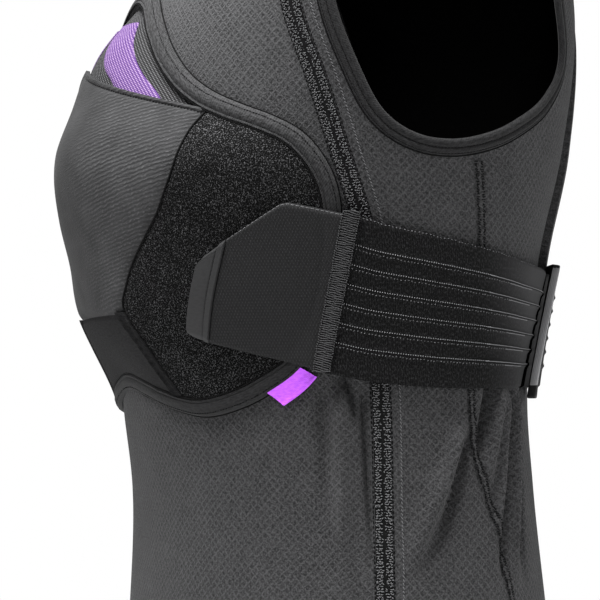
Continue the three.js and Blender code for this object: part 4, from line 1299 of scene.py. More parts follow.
    def binding(self, name: str, path: EdgePath, side: Side = Side.LEFT) -> None:
        """Folded tape round an opening, with a sewn groove between its two raised rows."""
        section = np.array(self.BINDING_SECTION)
        points, normals, across = path.frames()
        wide, high = section[:, 0, None, None], section[:, 1, None, None]
        grid = points[None] + across[None] * wide + normals[None] * high
        looks = self.looks
        tape = ring(grid, ring_uv(points, section)).mirrored(side)
        adopt(tape.build(name + "_tape", (looks.twill,)), Slot.BINDING, name)
        grooves = [path.offset(column, self.groove_lift, side) for column in self.groove_columns]
        self.sew(name + "_stitches", grooves, Sewing.BINDING, looks.dark_thread)
        shadow = [path.offset(self.shadow_column, self.shadow_lift, side)]
        self.lay(name + "_edge", shadow, self.shadow_radius, looks.dark_thread)

    def bindings(self) -> None:
        """Bindings of the armholes and the neck."""
        for side in Side:
            self.binding(f"armhole_binding_{side.word}", self.armhole, side)
        self.binding("neck_binding", self.neck)

    def hem(self) -> None:
        """Folded hem with two rows of stitches."""
        z, lift = np.array(self.HEM_SECTION).T
        turn = np.linspace(0, 360, num=300, endpoint=False)
        grid = TORSO.place(turn[None, :], z[:, None], lift[:, None])
        fold = ring(grid, ring_uv(grid[0], grid[:, 0]))
        adopt(fold.build("hem_band_fold", (self.looks.knit,)), Slot.KNIT, "hem_band")
        rows = [closed_line(torso_line(turn, level, self.hem_stitch_lift)) for level in self.hem_grooves]
        self.sew("hem_band_stitches", rows, Sewing.HEM, self.looks.dark_thread)

    def build(self) -> None:
        """All pieces of the vest."""
        self.panels()
        self.seams()
        self.bindings()
        self.hem()


# The chest pad.


class Outline:
    """Mirror-symmetric outline as a radius for each direction from a centre."""

    DEGREES = np.arange(-180, 181)
    SLOPE_REACH = 2.5
    SAMPLES = 1440

    def __init__(self, centre_z: float, turns: Sequence[float], heights: Sequence[float]) -> None:
        """Samples the outline."""
        half = np.column_stack((np.array(turns) * MM_PER_DEGREE, np.array(heights) - centre_z))
        other = half[-2:0:-1] * (-1, 1)
        samples = closed_curve(np.concatenate((half, other)), self.SAMPLES)
        angle = np.degrees(np.arctan2(samples[:, 1], samples[:, 0]))
        order = np.argsort(angle)
        self.centre_z = centre_z
        self.radii = np.interp(self.DEGREES, angle[order], np.hypot(*samples.T)[order], period=360)

    def radius(self, angle: Array, inset: Array = 0) -> Array:
        """Radius in a direction, moved in from the edge by an inset."""
        degree = np.degrees(angle)
        reach = self.SLOPE_REACH
        radius, after, before = (
            np.interp(degree + step, self.DEGREES, self.radii, period=360) for step in (0, reach, -reach)
        )
        slope = (after - before) / math.radians(2 * reach) / radius
        return radius - inset * np.hypot(1, slope)

    def place(self, angle: Array, radius: Array) -> tuple[Array, Array]:
        """Turn and height of a point given by its direction and radius."""
        return radius * np.cos(angle) / MM_PER_DEGREE, self.centre_z + radius * np.sin(angle)


def disc(steps: int) -> tuple[Array, Array]:
    """Direction and radius share of a square grid rounded to a disc."""
    side = np.linspace(-1, 1, steps + 1)
    a, b = np.meshgrid(side, side)
    x, y = a * np.sqrt(1 - b * b / 2), b * np.sqrt(1 - a * a / 2)
    return np.arctan2(y, x), np.clip(np.hypot(x, y), 0, 1)


class PadForm:
    """Shape of the chest pad's outer face."""

    EDGE = 7.5
    FLAT_SHARE = 0.5
    INSET = 8.4
    COVER = 2.0
    COVER_GAP = 1.1
    SEAT = 3.1
    KEEL_FALL = 0.45
    KEEL_SPAN = 60
    KEEL_RADIUS = 4
    RIM_POWER = 4
    REACH = 200
    FLAT_TURNS = (4, 28)
    FLAT_HEIGHTS = (-365, -330)
    MOUTH_CORNER_TURN = 36.3
    MOUTH_HEIGHTS = (-190, -223.5)
    MOUTH_POWER = 0.8
    outline = Outline(
        -285,
        (0, 11.5, 23, 34, 44.5, 51.5, 59, 64.3, 66.6, 66, 63.6, 58.2, 51.5, 44, 36.5, 30, 23, 16, 9, 0),
        (-374, -378.5, -385, -389, -384, -376.5, -363.5, -341, -308, -276, -259, -242, -232, -224, -215,
         -204, -187, -166, -147, -139),
    )
    crown = SmoothTable(
        (-400, -376, -350, -326, -300, -270, -240, -210, -180, -139),
        (10, 16, 24, 31, 34, 39, 41, 34, 31, 17),
    )
    flank = SmoothTable(
        (-382, -377, -364, -349, -337, -330, -317, -304, -290, -278, -267, -258, -246, -231, -222),
        (29.4, 28, 24.5, 21.5, 18.8, 17.8, 20, 22.8, 27, 30.5, 32.5, 33.8, 34.6, 35.5, 36.6),
    )

    def edge(self, turn: Array, z: Array) -> Array:
        """Lift of the rim, which lies flatter at the bottom near the centre front."""
        ahead = 1 - smoothstep(np.abs(turn), *self.FLAT_TURNS)
        flat = ahead * (1 - smoothstep(z, *self.FLAT_HEIGHTS))
        return self.EDGE * (1 - self.FLAT_SHARE * flat)

    def lift(self, turn: Array, z: Array) -> Array:
        """Lift of the outer face."""
        x, up = turn * MM_PER_DEGREE, z - self.outline.centre_z
        rim = self.outline.radius(np.arctan2(up, x), self.INSET)
        share = np.minimum(np.hypot(x, up) / rim, 1)
        keel = (np.hypot(turn, self.KEEL_RADIUS) - self.KEEL_RADIUS) / self.KEEL_SPAN
        crown = self.crown(z) * (1 - self.KEEL_FALL * np.minimum(keel, 1))
        edge = self.edge(turn, z)
        return edge + (crown - edge) * (1 - share**self.RIM_POWER)

    def insert_lift(self, turn: Array, z: Array) -> Array:
        """Lift of the insert's face, under the covers."""
        return self.lift(turn, z) - self.COVER - self.COVER_GAP

    def mouth_z(self, turn: Array) -> Array:
        """Height of the pocket's slanted mouth."""
        across = np.minimum(np.abs(turn) / self.MOUTH_CORNER_TURN, 1)
        return lerp(*self.MOUTH_HEIGHTS, across**self.MOUTH_POWER)

    def floor_z(self, turn: Array) -> Array:
        """Lowest height just inside the binding."""
        x = turn * MM_PER_DEGREE

        def held(z: Array) -> Array:
            """Whether a height lies inside the binding."""
            up = z - self.outline.centre_z
            return np.hypot(x, up) < self.outline.radius(np.arctan2(up, x), self.INSET)

        near = np.full(np.shape(turn), float(self.outline.centre_z))
        return last_held(held, near, near - self.REACH)

    def flank_radius(self, angle: Array) -> Array:
        """Radius at which a direction from the centre meets the flank edge."""

        def held(radius: Array) -> Array:
            """Whether a radius stays inside the flank edge."""
            turn, z = self.outline.place(angle, radius)
            return turn < self.flank(z)

        near = np.zeros(np.shape(angle))
        return last_held(held, near, near + self.REACH)


PAD = PadForm()


def pad_line(turn: Array, z: Array, above: Array, side: Side = Side.LEFT) -> Line:
    """Line at a height above the pad's face, with its outward directions."""
    return torso_line(turn, z, PAD.lift(turn, z) + above, side)


@dataclass
class ChestPad(Assembly):
    """Padded chest piece: insert, pocket front, lower panel, loop patches, binding and tag."""

    BINDING_SECTION = (
        (-1.4, 1.6), (-1.2, 3.4), (-0.6, 5.4), (0.2, 6.5), (0.8, 6.5), (1.6, 7.4), (3.6, 8.0), (5.6, 7.9),
        (6.3, 7.3), (6.8, 7.9), (7.5, 8.1), (8.1, 7.3), (8.4, 5.0), (8.2, 2.4), (4.5, 2.0), (0.4, 2.0),
    )
    CROWN_ROW = 6
    STITCH_PLACE = (0.6, 6.5)
    GAP_PLACES = ((8.7, 7.7), (-1.6, 2.4))
    BAND_MIDDLE = SmoothTable((0, 0.12, 0.31, 0.6, 1), (20.6, 18.2, 12.6, 7.6, 4.8))
    MOUTH_ROLL = Ridge(0.9, 0.7, 0.9)
    MOUTH_GROOVE = Ridge(-0.7, 2.4, 0.8)
    TAPE_RIM = Ridge(0.6, 0.45, 0.05)
    TAG_FOLD = Ridge(0.8, 0.94, 0.08)

    band_halves: Range = (6.4, 3.4)
    band_tuck: float = 6
    band_top_z: float = -163
    band_rim: float = 0.5
    band_crown: float = 0.8
    rib_foot_z: float = -333
    foot_turn: float = 28.5
    edge_dip: float = 1.3
    edge_reach: float = 2.6
    pocket_height: float = 120
    mouth_row_reach: float = 0.985
    mouth_row_sink: float = 0.5
    flank_groove_turn: float = 0.1
    flank_groove_sink: float = 0.9
    flank_groove_radius: float = 0.6
    lower_height: float = 55
    tape_width: float = 8.5
    tape_depth: float = 1.5
    tape_rim: float = 0.2
    tape_crown: float = 0.8
    tape_ridges: int = 6
    ridge_height: float = 0.35
    loop_angles: Range = (-51, 31.6)
    loop_tuck: float = 0.6
    loop_gap: float = 0.3
    loop_least: float = 1.2
    loop_dip: float = 0.8
    loop_sink: float = 0.2
    gap_radius: float = 0.4
    tag_angles: Range = (-33.3, -26)
    tag_start: float = 1.0
    tag_length: float = 12.2
    tag_levels: Range = (4.6, 2.9)
    tag_thickness: float = 0.9
    tag_end_loss: float = 0.7

    def insert(self) -> None:
        """Foam insert in coarse mesh."""
        angle, share = disc(steps=90)
        turn, z = PAD.outline.place(angle, share * PAD.outline.radius(angle, PAD.INSET))
        pad = torso_slab(turn, z, PAD.insert_lift(turn, z), PAD.SEAT)
        made = pad.build("chest_insert_pad", (self.looks.black_mesh,))
        adopt(made, Slot.DARK_CLOTH, "chest_insert")

    def band(self, side: Side) -> None:
        """Purple mesh band on the insert."""
        u, v = share_grid(columns=17, rows=30, first=-1)
        turn = self.BAND_MIDDLE(v) + u * lerp(*self.band_halves, v)
        z = lerp(PAD.mouth_z(turn) - self.band_tuck, self.band_top_z, v)
        lift = PAD.insert_lift(turn, z)
        crown = self.band_rim + self.band_crown * (1 - u**6)
        wall, area = self.cover(turn, z, lift + crown, lift)
        name = f"insert_band_{side.word}"
        made = wall.mirrored(side).build(name + "_mesh", (self.looks.purple_mesh,))
        adopt(made, Slot.PURPLE_MESH, name)

    def cover(self, turn: Array, z: Array, outer: Array, inner: Array) -> tuple[Patch, float]:
        """Wall between two lifts, and its cloth area in square metres."""
        cloth = Patch.grid(TORSO.place(turn, z, outer), TORSO.cloth(turn, z))
        return cloth.thick(TORSO.place(turn, z, inner)), cloth.area()

    def pad_cover(self, turn: Array, z: Array, extra: Array) -> tuple[Patch, float]:
        """Wall of a cover on the insert at a height above the pad's face, and its area."""
        lift = PAD.lift(turn, z)
        return self.cover(turn, z, lift + extra, lift - PAD.COVER)

    def edge_fall(self, distance: Array) -> Array:
        """Dip of a cover towards its sewn edge."""
        return -self.edge_dip * np.exp(-((distance / self.edge_reach) ** 2))

    def pocket(self) -> None:
        """Rib-knit pocket front with its rolled mouth."""
        u, v = share_grid(columns=131, rows=100, first=-1)
        mouth_z = PAD.mouth_z(u * PAD.MOUTH_CORNER_TURN)
        z = lerp(self.rib_foot_z, mouth_z, v)
        flank = PAD.flank(z)
        turn = u * flank
        from_mouth = (1 - v) * (mouth_z - self.rib_foot_z)
        from_flank = (flank - np.abs(turn)) * MM_PER_DEGREE
        extra = self.edge_fall(from_flank) + self.edge_fall(v * self.pocket_height)
        extra = extra + self.MOUTH_ROLL.at(from_mouth) + self.MOUTH_GROOVE.at(from_mouth)
        wall, area = self.pad_cover(turn, z, extra)
        made = adopt(wall.build("rib_panel_front", (self.looks.rib,)), Slot.RIB_KNIT, "rib_panel")
        self.pocket_threads()

    def pocket_threads(self) -> None:
        """Row of stitches below the pocket's mouth, and dark cords in the grooves along its flanks as painted
        shade.
        """
        dark = self.looks.dark_thread
        along = np.linspace(-self.mouth_row_reach, self.mouth_row_reach, 200)
        row_z = PAD.mouth_z(along * PAD.MOUTH_CORNER_TURN) - self.MOUTH_GROOVE.centre
        row = [pad_line(along * PAD.flank(row_z), row_z, -self.mouth_row_sink)]
        self.sew("rib_panel_stitches", row, Sewing.MOUTH, dark)
        # Dark cords in the flank grooves: painted shade.
        corner_z = PAD.mouth_z(np.array(PAD.MOUTH_CORNER_TURN))
        edge_z = np.linspace(self.rib_foot_z + 2, corner_z, 120)
        edge_turn = PAD.flank(edge_z) + self.flank_groove_turn
        grooves = [pad_line(edge_turn, edge_z, -self.flank_groove_sink, side) for side in Side]
        self.lay("rib_panel_grooves", grooves, self.flank_groove_radius, dark)

    def lower(self) -> None:
        """Dark panel below the pocket front, with a tape along each side."""
        u, v = share_grid(columns=81, rows=40, first=-1)
        z = lerp(PAD.floor_z(u * self.foot_turn), self.rib_foot_z, v)
        flank = PAD.flank(z)
        turn = u * flank
        from_flank = (flank - np.abs(turn)) * MM_PER_DEGREE
        extra = self.edge_fall(from_flank) + self.edge_fall((1 - v) * self.lower_height)
        wall, area = self.pad_cover(turn, z, extra)
        made = wall.build("lower_panel_cloth", (self.looks.under,))
        adopt(made, Slot.DARK_CLOTH, "lower_panel")
        for side in Side:
            self.tape(side)

    def tape(self, side: Side) -> None:
        """Twill tape along the flank edge of the lower panel."""
        z = np.linspace(PAD.floor_z(np.array(self.foot_turn)) + 1, self.rib_foot_z + 1, 50)[:, None]
        across = np.linspace(-0.5, 0.5, 33)[None, :]
        turn = PAD.flank(z) + (across - 0.5) * self.tape_width / MM_PER_DEGREE
        lift = PAD.lift(turn, z)
        ridges = self.ridge_height * np.cos(across * 2 * math.pi * self.tape_ridges)
        crown = self.tape_rim + (self.tape_crown + ridges) * (1 - (2 * across) ** 8)
        tape = torso_slab(turn, z, lift + (crown + self.TAPE_RIM.at(across)), lift - self.tape_depth)
        name = f"lower_panel_tape_{side.word}"
        adopt(tape.mirrored(side).build(name, (self.looks.under,)), Slot.BINDING)

    def loop_patch(self, side: Side) -> None:
        """Loop patch on the pad's flank."""
        u, v = share_grid(columns=60, rows=110)
        angle = np.radians(lerp(*self.loop_angles, v))
        outer = PAD.outline.radius(angle, PAD.INSET - self.loop_tuck)
        inner = np.minimum(PAD.flank_radius(angle) + self.loop_gap, outer - self.loop_least)
        turn, z = PAD.outline.place(angle, lerp(inner, outer, u))
        extra = self.edge_fall(u * (outer - inner)) * self.loop_dip - self.loop_sink
        wall, area = self.pad_cover(turn, z, extra)
        name = f"loop_patch_{side.word}"
        made = wall.mirrored(side).build(name + "_pile", (self.looks.pile,))
        adopt(made, Slot.LOOP_PILE, name)

    def binding(self) -> None:
        """Folded tape round the pad, with a dark cord along each edge as a painted shadow line."""
        section = np.array(self.BINDING_SECTION)
        angle = np.linspace(-math.pi, math.pi, num=340, endpoint=False)
        turn, z = PAD.outline.place(angle[None, :], PAD.outline.radius(angle[None, :], section[:, :1]))
        grid = TORSO.place(turn, z, section[:, 1:] * PAD.edge(turn, z) / PAD.EDGE)
        tape = ring(grid, ring_uv(grid[self.CROWN_ROW], section))
        adopt(tape.build("pad_binding_tape", (self.looks.pad_tape,)), Slot.BINDING, "pad_binding")
        dark = self.looks.dark_thread
        rows = [self.rim_line(angle, *self.STITCH_PLACE)]
        self.sew("pad_binding_stitches", rows, Sewing.PAD_EDGE, dark)
        # Dark cords at the tape's inner and outer edges: painted shadow lines.
        gaps = [self.rim_line(angle, inset, lift) for inset, lift in self.GAP_PLACES]
        self.lay("pad_binding_gaps", gaps, self.gap_radius, dark)

    def rim_line(self, angle: Array, inset: float, lift: float) -> Line:
        """Closed line at an inset from the pad's edge."""
        turn, z = PAD.outline.place(angle, PAD.outline.radius(angle, inset))
        return closed_line(torso_line(turn, z, lift * PAD.edge(turn, z) / PAD.EDGE))

    def tag(self) -> None:
        """Blank folded loop tag at the pad's edge."""
        u, v = share_grid(columns=24, rows=40)
        angle = np.radians(lerp(*self.tag_angles, v))
        radius = PAD.outline.radius(angle, self.tag_start - u * self.tag_length)
        turn, z = PAD.outline.place(angle, radius)
        level = lerp(*self.tag_levels, smoothstep(u, 0, 0.5))
        thickness = self.tag_thickness + self.TAG_FOLD.at(u) - self.tag_end_loss * smoothstep(u, 0.96, 1)
        wall, area = self.cover(turn, z, level + thickness, level)
        made = wall.build("side_tag_loop", (self.looks.purple_tape,))
        adopt(made, Slot.PURPLE_TAPE, "side_tag")

    def build(self) -> None:
        """All pieces of the chest pad."""
        self.insert()
        self.pocket()
        self.lower()
        for side in Side:
            self.band(side)
            self.loop_patch(side)
        self.binding()
        self.tag()


# The belts.


@dataclass
class SideBelt(Assembly):
    """Elastic belt of one side with its slider, hook tab and sewn joint."""

    TAB = (
        (0, 39.6, -350.6, 45, -295.5),
        (0.44, 49.4, -357, 55.2, -277.4),
        (0.5, 50.8, -357.8, 56.6, -276.8),
        (1, 63.6, -365.5, 68.9, -284),
    )
    TIP = (
        (0, 34.6, -342, 38.2, -311),
        (0.1, 34.9, -345.4, 38.9, -307.5),
        (0.3, 36.0, -347.2, 40.1, -304.2),
        (1, 39.8, -350.8, 45.2, -295.1),
    )
    TIP_GROOVE = Ridge(-0.5, 0.74, 0.03)
    JOINT_ROWS = (
        ("_threads", (-0.7, 0.75), Sewing.JOINT),
        ("_borders", (-1.75, 1.75), Sewing.JOINT_BORDER),
    )
    RUN_TURNS = (66.7, 69.5, 74, 80, 88, 94.5, 101, 111, 121, 131, 134, 136, 137.9, 141, 143, 147)
    high = SmoothTable(
        RUN_TURNS,
        (-283.5, -285.5, -288, -290.5, -294, -297, -299.5, -302.7, -305.5, -307, -307.5, -307.6, -307.8,
         -308, -308, -308),
    )
    low = SmoothTable(
        RUN_TURNS,
        (-366, -368, -371, -373, -374.5, -375, -375, -375, -375, -374.5, -374.3, -374.2, -374.1, -374,
         -374, -374),
    )
    lift = SmoothTable(
        RUN_TURNS, (8.6, 8.2, 6.2, 4.6, 4.1, 4.1, 4.1, 3.9, 3.8, 3.5, 3.5, 6.8, 9.6, 9.6, 6.6, 3.2)
    )
    start, end = RUN_TURNS[0], RUN_TURNS[-1]

    side: Side
    thickness: float = 2.0
    rim_share: float = 0.55
    web_sink: float = 0.25
    rib_count: int = 6
    first_rib: float = 0.19
    rib_pitch: float = 0.124
    rib_height: float = 0.8
    rib_half: float = 0.019
    slant_turn: float = 5.6
    lean_turn: float = 13.0
    slider_turn: float = 136.0
    slider_z: float = -341
    slot_turn: float = 4.6
    slot_length: float = 70
    bar_turn: float = 2.4
    end_bar: float = 4.5
    slider_lift: float = 6.5
    slider_tilt: float = 1.7
    slider_rise: float = 3.2
    belt_rise: float = 5.0
    hidden_turns: Range = (130.4, 133.8)
    slider_thickness: float = 5
    slider_corner: float = 0.2
    slider_edge: float = 0.35
    dark_rows: tuple[int, int] = (8, 18)
    slant_end: float = 80
    lean_in: Range = (116, 131)
    lean_out: Range = (141, 147)
    row_margin: float = 1.5
    row_points: int = 200
    row_share: float = 0.012
    groove_radius: float = 0.32
    lower_share: float = 0.008
    smooth_radius: float = 0.25
    edge_end: float = 122
    edge_share: float = 0.996
    plate_gap: float = 0.3
    tab_rim: float = 0.9
    tab_crown: float = 1.7
    tip_rim: float = 0.8
    tip_crown: float = 1.6
    tip_strip: float = 1.5
    shadow_radius: float = 0.4
    joint_turns: Range = (64.2, 69.3)
    joint_heights: Range = (-366, -282)
    joint_half: float = 1.9
    joint_seat: float = 10.6
    joint_lift: float = 11.4
    joint_crown: float = 0.6
    joint_thread_lift: float = 12.0

    def name(self, base: str) -> str:
        """Name of a piece on this side."""
        return f"{base}_{self.side.word}"

    def height_share(self, z: Array) -> Array:
        """Height above the slider's middle as a share of its slot's length."""
        return (z - self.slider_z) / self.slot_length

    def lean(self, z: Array) -> Array:
        """Turn by which the slider, and the belt in it, leans at a height."""
        return self.lean_turn * self.height_share(z)

    def run(self, turn: Array, share: Array, above: Array) -> tuple[Array, Array, Array]:
        """Turn, height and lift of a place on the belt."""
        turn, share, above = np.broadcast_arrays(turn, share, above)
        slant = self.slant_turn * (share - 0.5) * (1 - smoothstep(turn, self.start, self.slant_end))
        leaning = smoothstep(turn, *self.lean_in) * (1 - smoothstep(turn, *self.lean_out))
        z = lerp(self.low(turn), self.high(turn), share)
        rise = self.belt_rise * self.height_share(z)
        return turn + slant + leaning * self.lean(z), z, self.lift(turn) + leaning * rise + above

    def rib_shares(self) -> Array:
        """Shares of the belt's width at which the ribs lie."""
        return self.first_rib + self.rib_pitch * np.arange(self.rib_count)

    def belt(self) -> None:
        """Ribbed elastic belt with the thread rows on its ribs, painted near-black as shadow in the gap
        before the slider's bar.
        """
        share = np.linspace(0, 1, 121)[:, None]
        turn = np.linspace(self.start, self.end, 180)[None, :]
        ribs = sum(bump(share, middle, self.rib_half) for middle in self.rib_shares())
        edge = smoothstep(np.minimum(share, 1 - share), 0, 0.02)
        rounding = self.rim_share + (1 - self.rim_share) * edge
        above = self.thickness * rounding + self.rib_height * ribs - self.web_sink
        outer = self.run(turn, share, above)
        inner = self.run(turn, share, 0.0)
        uv = TORSO.cloth(outer[0], outer[1])
        face = Patch.grid(TORSO.place(*outer), uv)
        along = np.broadcast_to(turn, uv.shape[:2]).ravel()[face.faces].mean(axis=1)
        # Painted shadow: the faces in the gap by the slider's bar take the near-black inner-face material.
        face.looks = ((along > self.hidden_turns[0]) & (along < self.hidden_turns[1])).astype(int)
        web = face.thick(TORSO.place(*inner)).mirrored(self.side)
        name = self.name("belt")
        looks = (self.looks.elastic, self.looks.lining)
        adopt(web.build(name + "_web", looks), Slot.ELASTIC, name)
        self.belt_threads(name)

    def belt_rows(self, first: float, last: float, offset: Array, lift: float) -> list[Line]:
        """Lines beside all ribs between two turns."""
        along = np.linspace(first, last, self.row_points)
        places = [self.run(along, middle + offset, self.thickness + lift) for middle in self.rib_shares()]
        return [torso_line(*place, self.side) for place in places]

    def belt_threads(self, name: str) -> None:
        """Beaded and smooth thread on the ribs and the upper edge, and dark cords along the ribs as painted
        shade in the grooves between thread rows.
        """
        looks, first, near = self.looks, self.start + self.row_margin, self.row_share
        beads = self.belt_rows(first, last=104, offset=near, lift=0.5)
        self.sew(name + "_beads", beads, Sewing.BEAD, looks.pale_thread)
        knots = self.belt_rows(first, last=112, offset=-near, lift=0.4)
        self.sew(name + "_knots", knots, Sewing.KNOT, looks.grey_thread)
        # Dark cords between the thread rows: painted shade in the grooves.
        grooves = self.belt_rows(first, last=131, offset=0.002, lift=0.3)
        self.lay(name + "_grooves", grooves, self.groove_radius, looks.dark_thread)
        upper = self.belt_rows(first=103, last=132, offset=0.01, lift=0.4)
        drift = np.linspace(-near, -self.lower_share, self.row_points)
        lower = self.belt_rows(first=111, last=122, offset=drift, lift=0.3)
        self.lay(name + "_smooth_threads", upper + lower, self.smooth_radius, looks.grey_thread)
        along = np.linspace(first, self.edge_end, 240)
        edge = [torso_line(*self.run(along, self.edge_share, self.rim_share * self.thickness), self.side)]
        self.sew(name + "_edge", edge, Sewing.BELT_EDGE, looks.grey_thread)

    def plate_place(self, rows: Table, u: Array, v: Array) -> tuple[Array, Array, Array]:
        """Turn, height and lift of the pad under a plate given by its two edges along its length."""
        along, *edges = np.array(rows).T
        low_turn, low_z, high_turn, high_z = (np.interp(u, along, edge) for edge in edges)
        turn, z = lerp(low_turn, high_turn, v), lerp(low_z, high_z, v)
        return turn, z, np.maximum(PAD.lift(turn, z), PAD.EDGE)

    def plate(self, rows: Table, thickness: Array, u: Array, v: Array) -> Patch:
        """Wall of a plate that lies on the pad."""
        turn, z, face = self.plate_place(rows, u, v)
        level = face + self.plate_gap
        return torso_slab(turn, z, level + thickness, level).mirrored(self.side)

    def plate_line(self, rows: Table, u: Array, v: Array, above: float) -> list[Line]:
        """Line on a plate, at a height above the pad, as the only one of its list."""
        turn, z, face = self.plate_place(rows, *np.broadcast_arrays(u, v))
        return [torso_line(turn, z, face + above, self.side)]

    def tab(self) -> None:
        """Hook tab and its smooth pull end."""
        looks = self.looks
        u, v = share_grid(columns=90, rows=70)
        edge = smoothstep(np.minimum(v, 1 - v), 0, 0.02)
        tab = self.plate(self.TAB, self.tab_rim + self.tab_crown * edge, u, v)
        name = self.name("belt_tab")
        adopt(tab.build(name + "_cloth", (looks.dash,)), Slot.TAB_CLOTH, name)
        u, v = share_grid(columns=60, rows=50)
        edge = smoothstep(np.minimum(v, 1 - v), 0, 0.04) * smoothstep(u, 0, 0.1)
        strip = smoothstep(u, 0.76, 0.8) * (1 - smoothstep(u, 0.985, 1))
        crown = self.tip_rim + self.tip_crown * edge + self.tip_strip * strip
        end = self.plate(self.TIP, crown + self.TIP_GROOVE.at(u), u, v)
        name = self.name("tab_tip")
        adopt(end.build(name + "_cloth", (looks.tip,)), Slot.TAB_CLOTH, name)
        across = np.linspace(0.04, 0.96, 60)
        row = self.plate_line(self.TIP, u=0.73, v=across, above=2.3)
        self.sew(name + "_stitches", row, Sewing.TAB_END, looks.dark_thread)
        shadow = self.plate_line(self.TAB, u=0.012, v=across, above=2.7)
        self.lay(name + "_shadow", shadow, self.shadow_radius, looks.dark_thread)
        top = self.plate_line(self.TAB, u=np.linspace(0.02, 0.98, 120), v=0.99, above=2.4)
        self.sew(self.name("belt_tab_edge"), top, Sewing.TAB_EDGE, looks.grey_thread)

    def joint(self) -> None:
        """Close-sewn band over the joint of tab and belt."""
        v = np.linspace(0, 1, 90)
        turn, z = lerp(*self.joint_turns, v), lerp(*self.joint_heights, v)
        across = np.linspace(-1, 1, 13)[None, :]
        grid_turn = turn[:, None] + self.joint_half * across
        lift = self.joint_lift + self.joint_crown * (1 - across**4)
        band = torso_slab(grid_turn, z[:, None], lift, self.joint_seat).mirrored(self.side)
        name = self.name("stitch_band")
        # Near-black base: painted shade between the band's threads.
        adopt(band.build(name + "_base", (self.looks.seam_web,)), Slot.THREAD, name)
        thread = self.looks.band_thread
        for ending, shifts, kind in self.JOINT_ROWS:
            lines = [torso_line(turn + shift, z, self.joint_thread_lift, self.side) for shift in shifts]
            self.sew(name + ending, lines, kind, thread)

    def slider(self) -> None:
        """Moulded slot frame that the belt's end passes through: light on its outer face, near-black on its
        end bars, with painted shade on the walls facing the slot and underneath.
        """
        angle = np.linspace(0, 2 * math.pi, 160, endpoint=False)[None, :]
        around = np.linspace(0, 2 * math.pi, 20, endpoint=False)[:, None]
        out = self.slider_thickness * (0.5 + 0.5 * signed_power(np.sin(around), self.slider_edge))
        share = 0.5 + 0.5 * signed_power(np.cos(around), self.slider_edge)
        half_turn = self.slot_turn / 2 + self.bar_turn * share
        half_length = self.slot_length / 2 + self.end_bar * share
        z = self.slider_z + half_length * signed_power(np.sin(angle), self.slider_corner)
        sideways = half_turn * signed_power(np.cos(angle), self.slider_corner)
        turn = self.slider_turn + sideways + self.lean(z)
        tilt = self.slider_tilt * sideways / (self.slot_turn / 2 + self.bar_turn)
        rise = self.slider_rise * self.height_share(z)
        grid = TORSO.place(turn, z, self.slider_lift + rise - tilt + out)
        slot_frame = ring(grid, ring_uv(grid[0], grid[:, 0]))
        height = slot_frame.centres()[:, 2] - self.slider_z
        row = np.arange(len(height)) // angle.size
        ends = (height > self.slot_length / 2 + 0.5) | (height < 3 - self.slot_length / 2)
        # Near-black on the end bars, and painted shade on the rows facing into the slot and down.
        slot_frame.looks = (ends | ((row >= self.dark_rows[0]) & (row <= self.dark_rows[1]))).astype(int)
        looks = (self.looks.plastic, self.looks.plastic_end)
        name = self.name("slider")
        adopt(slot_frame.mirrored(self.side).build(name + "_frame", looks), Slot.PLASTIC, name)

    def build(self) -> None:
        """All pieces of one side."""
        self.belt()
        self.tab()
        self.joint()
        self.slider()


# The back pad.


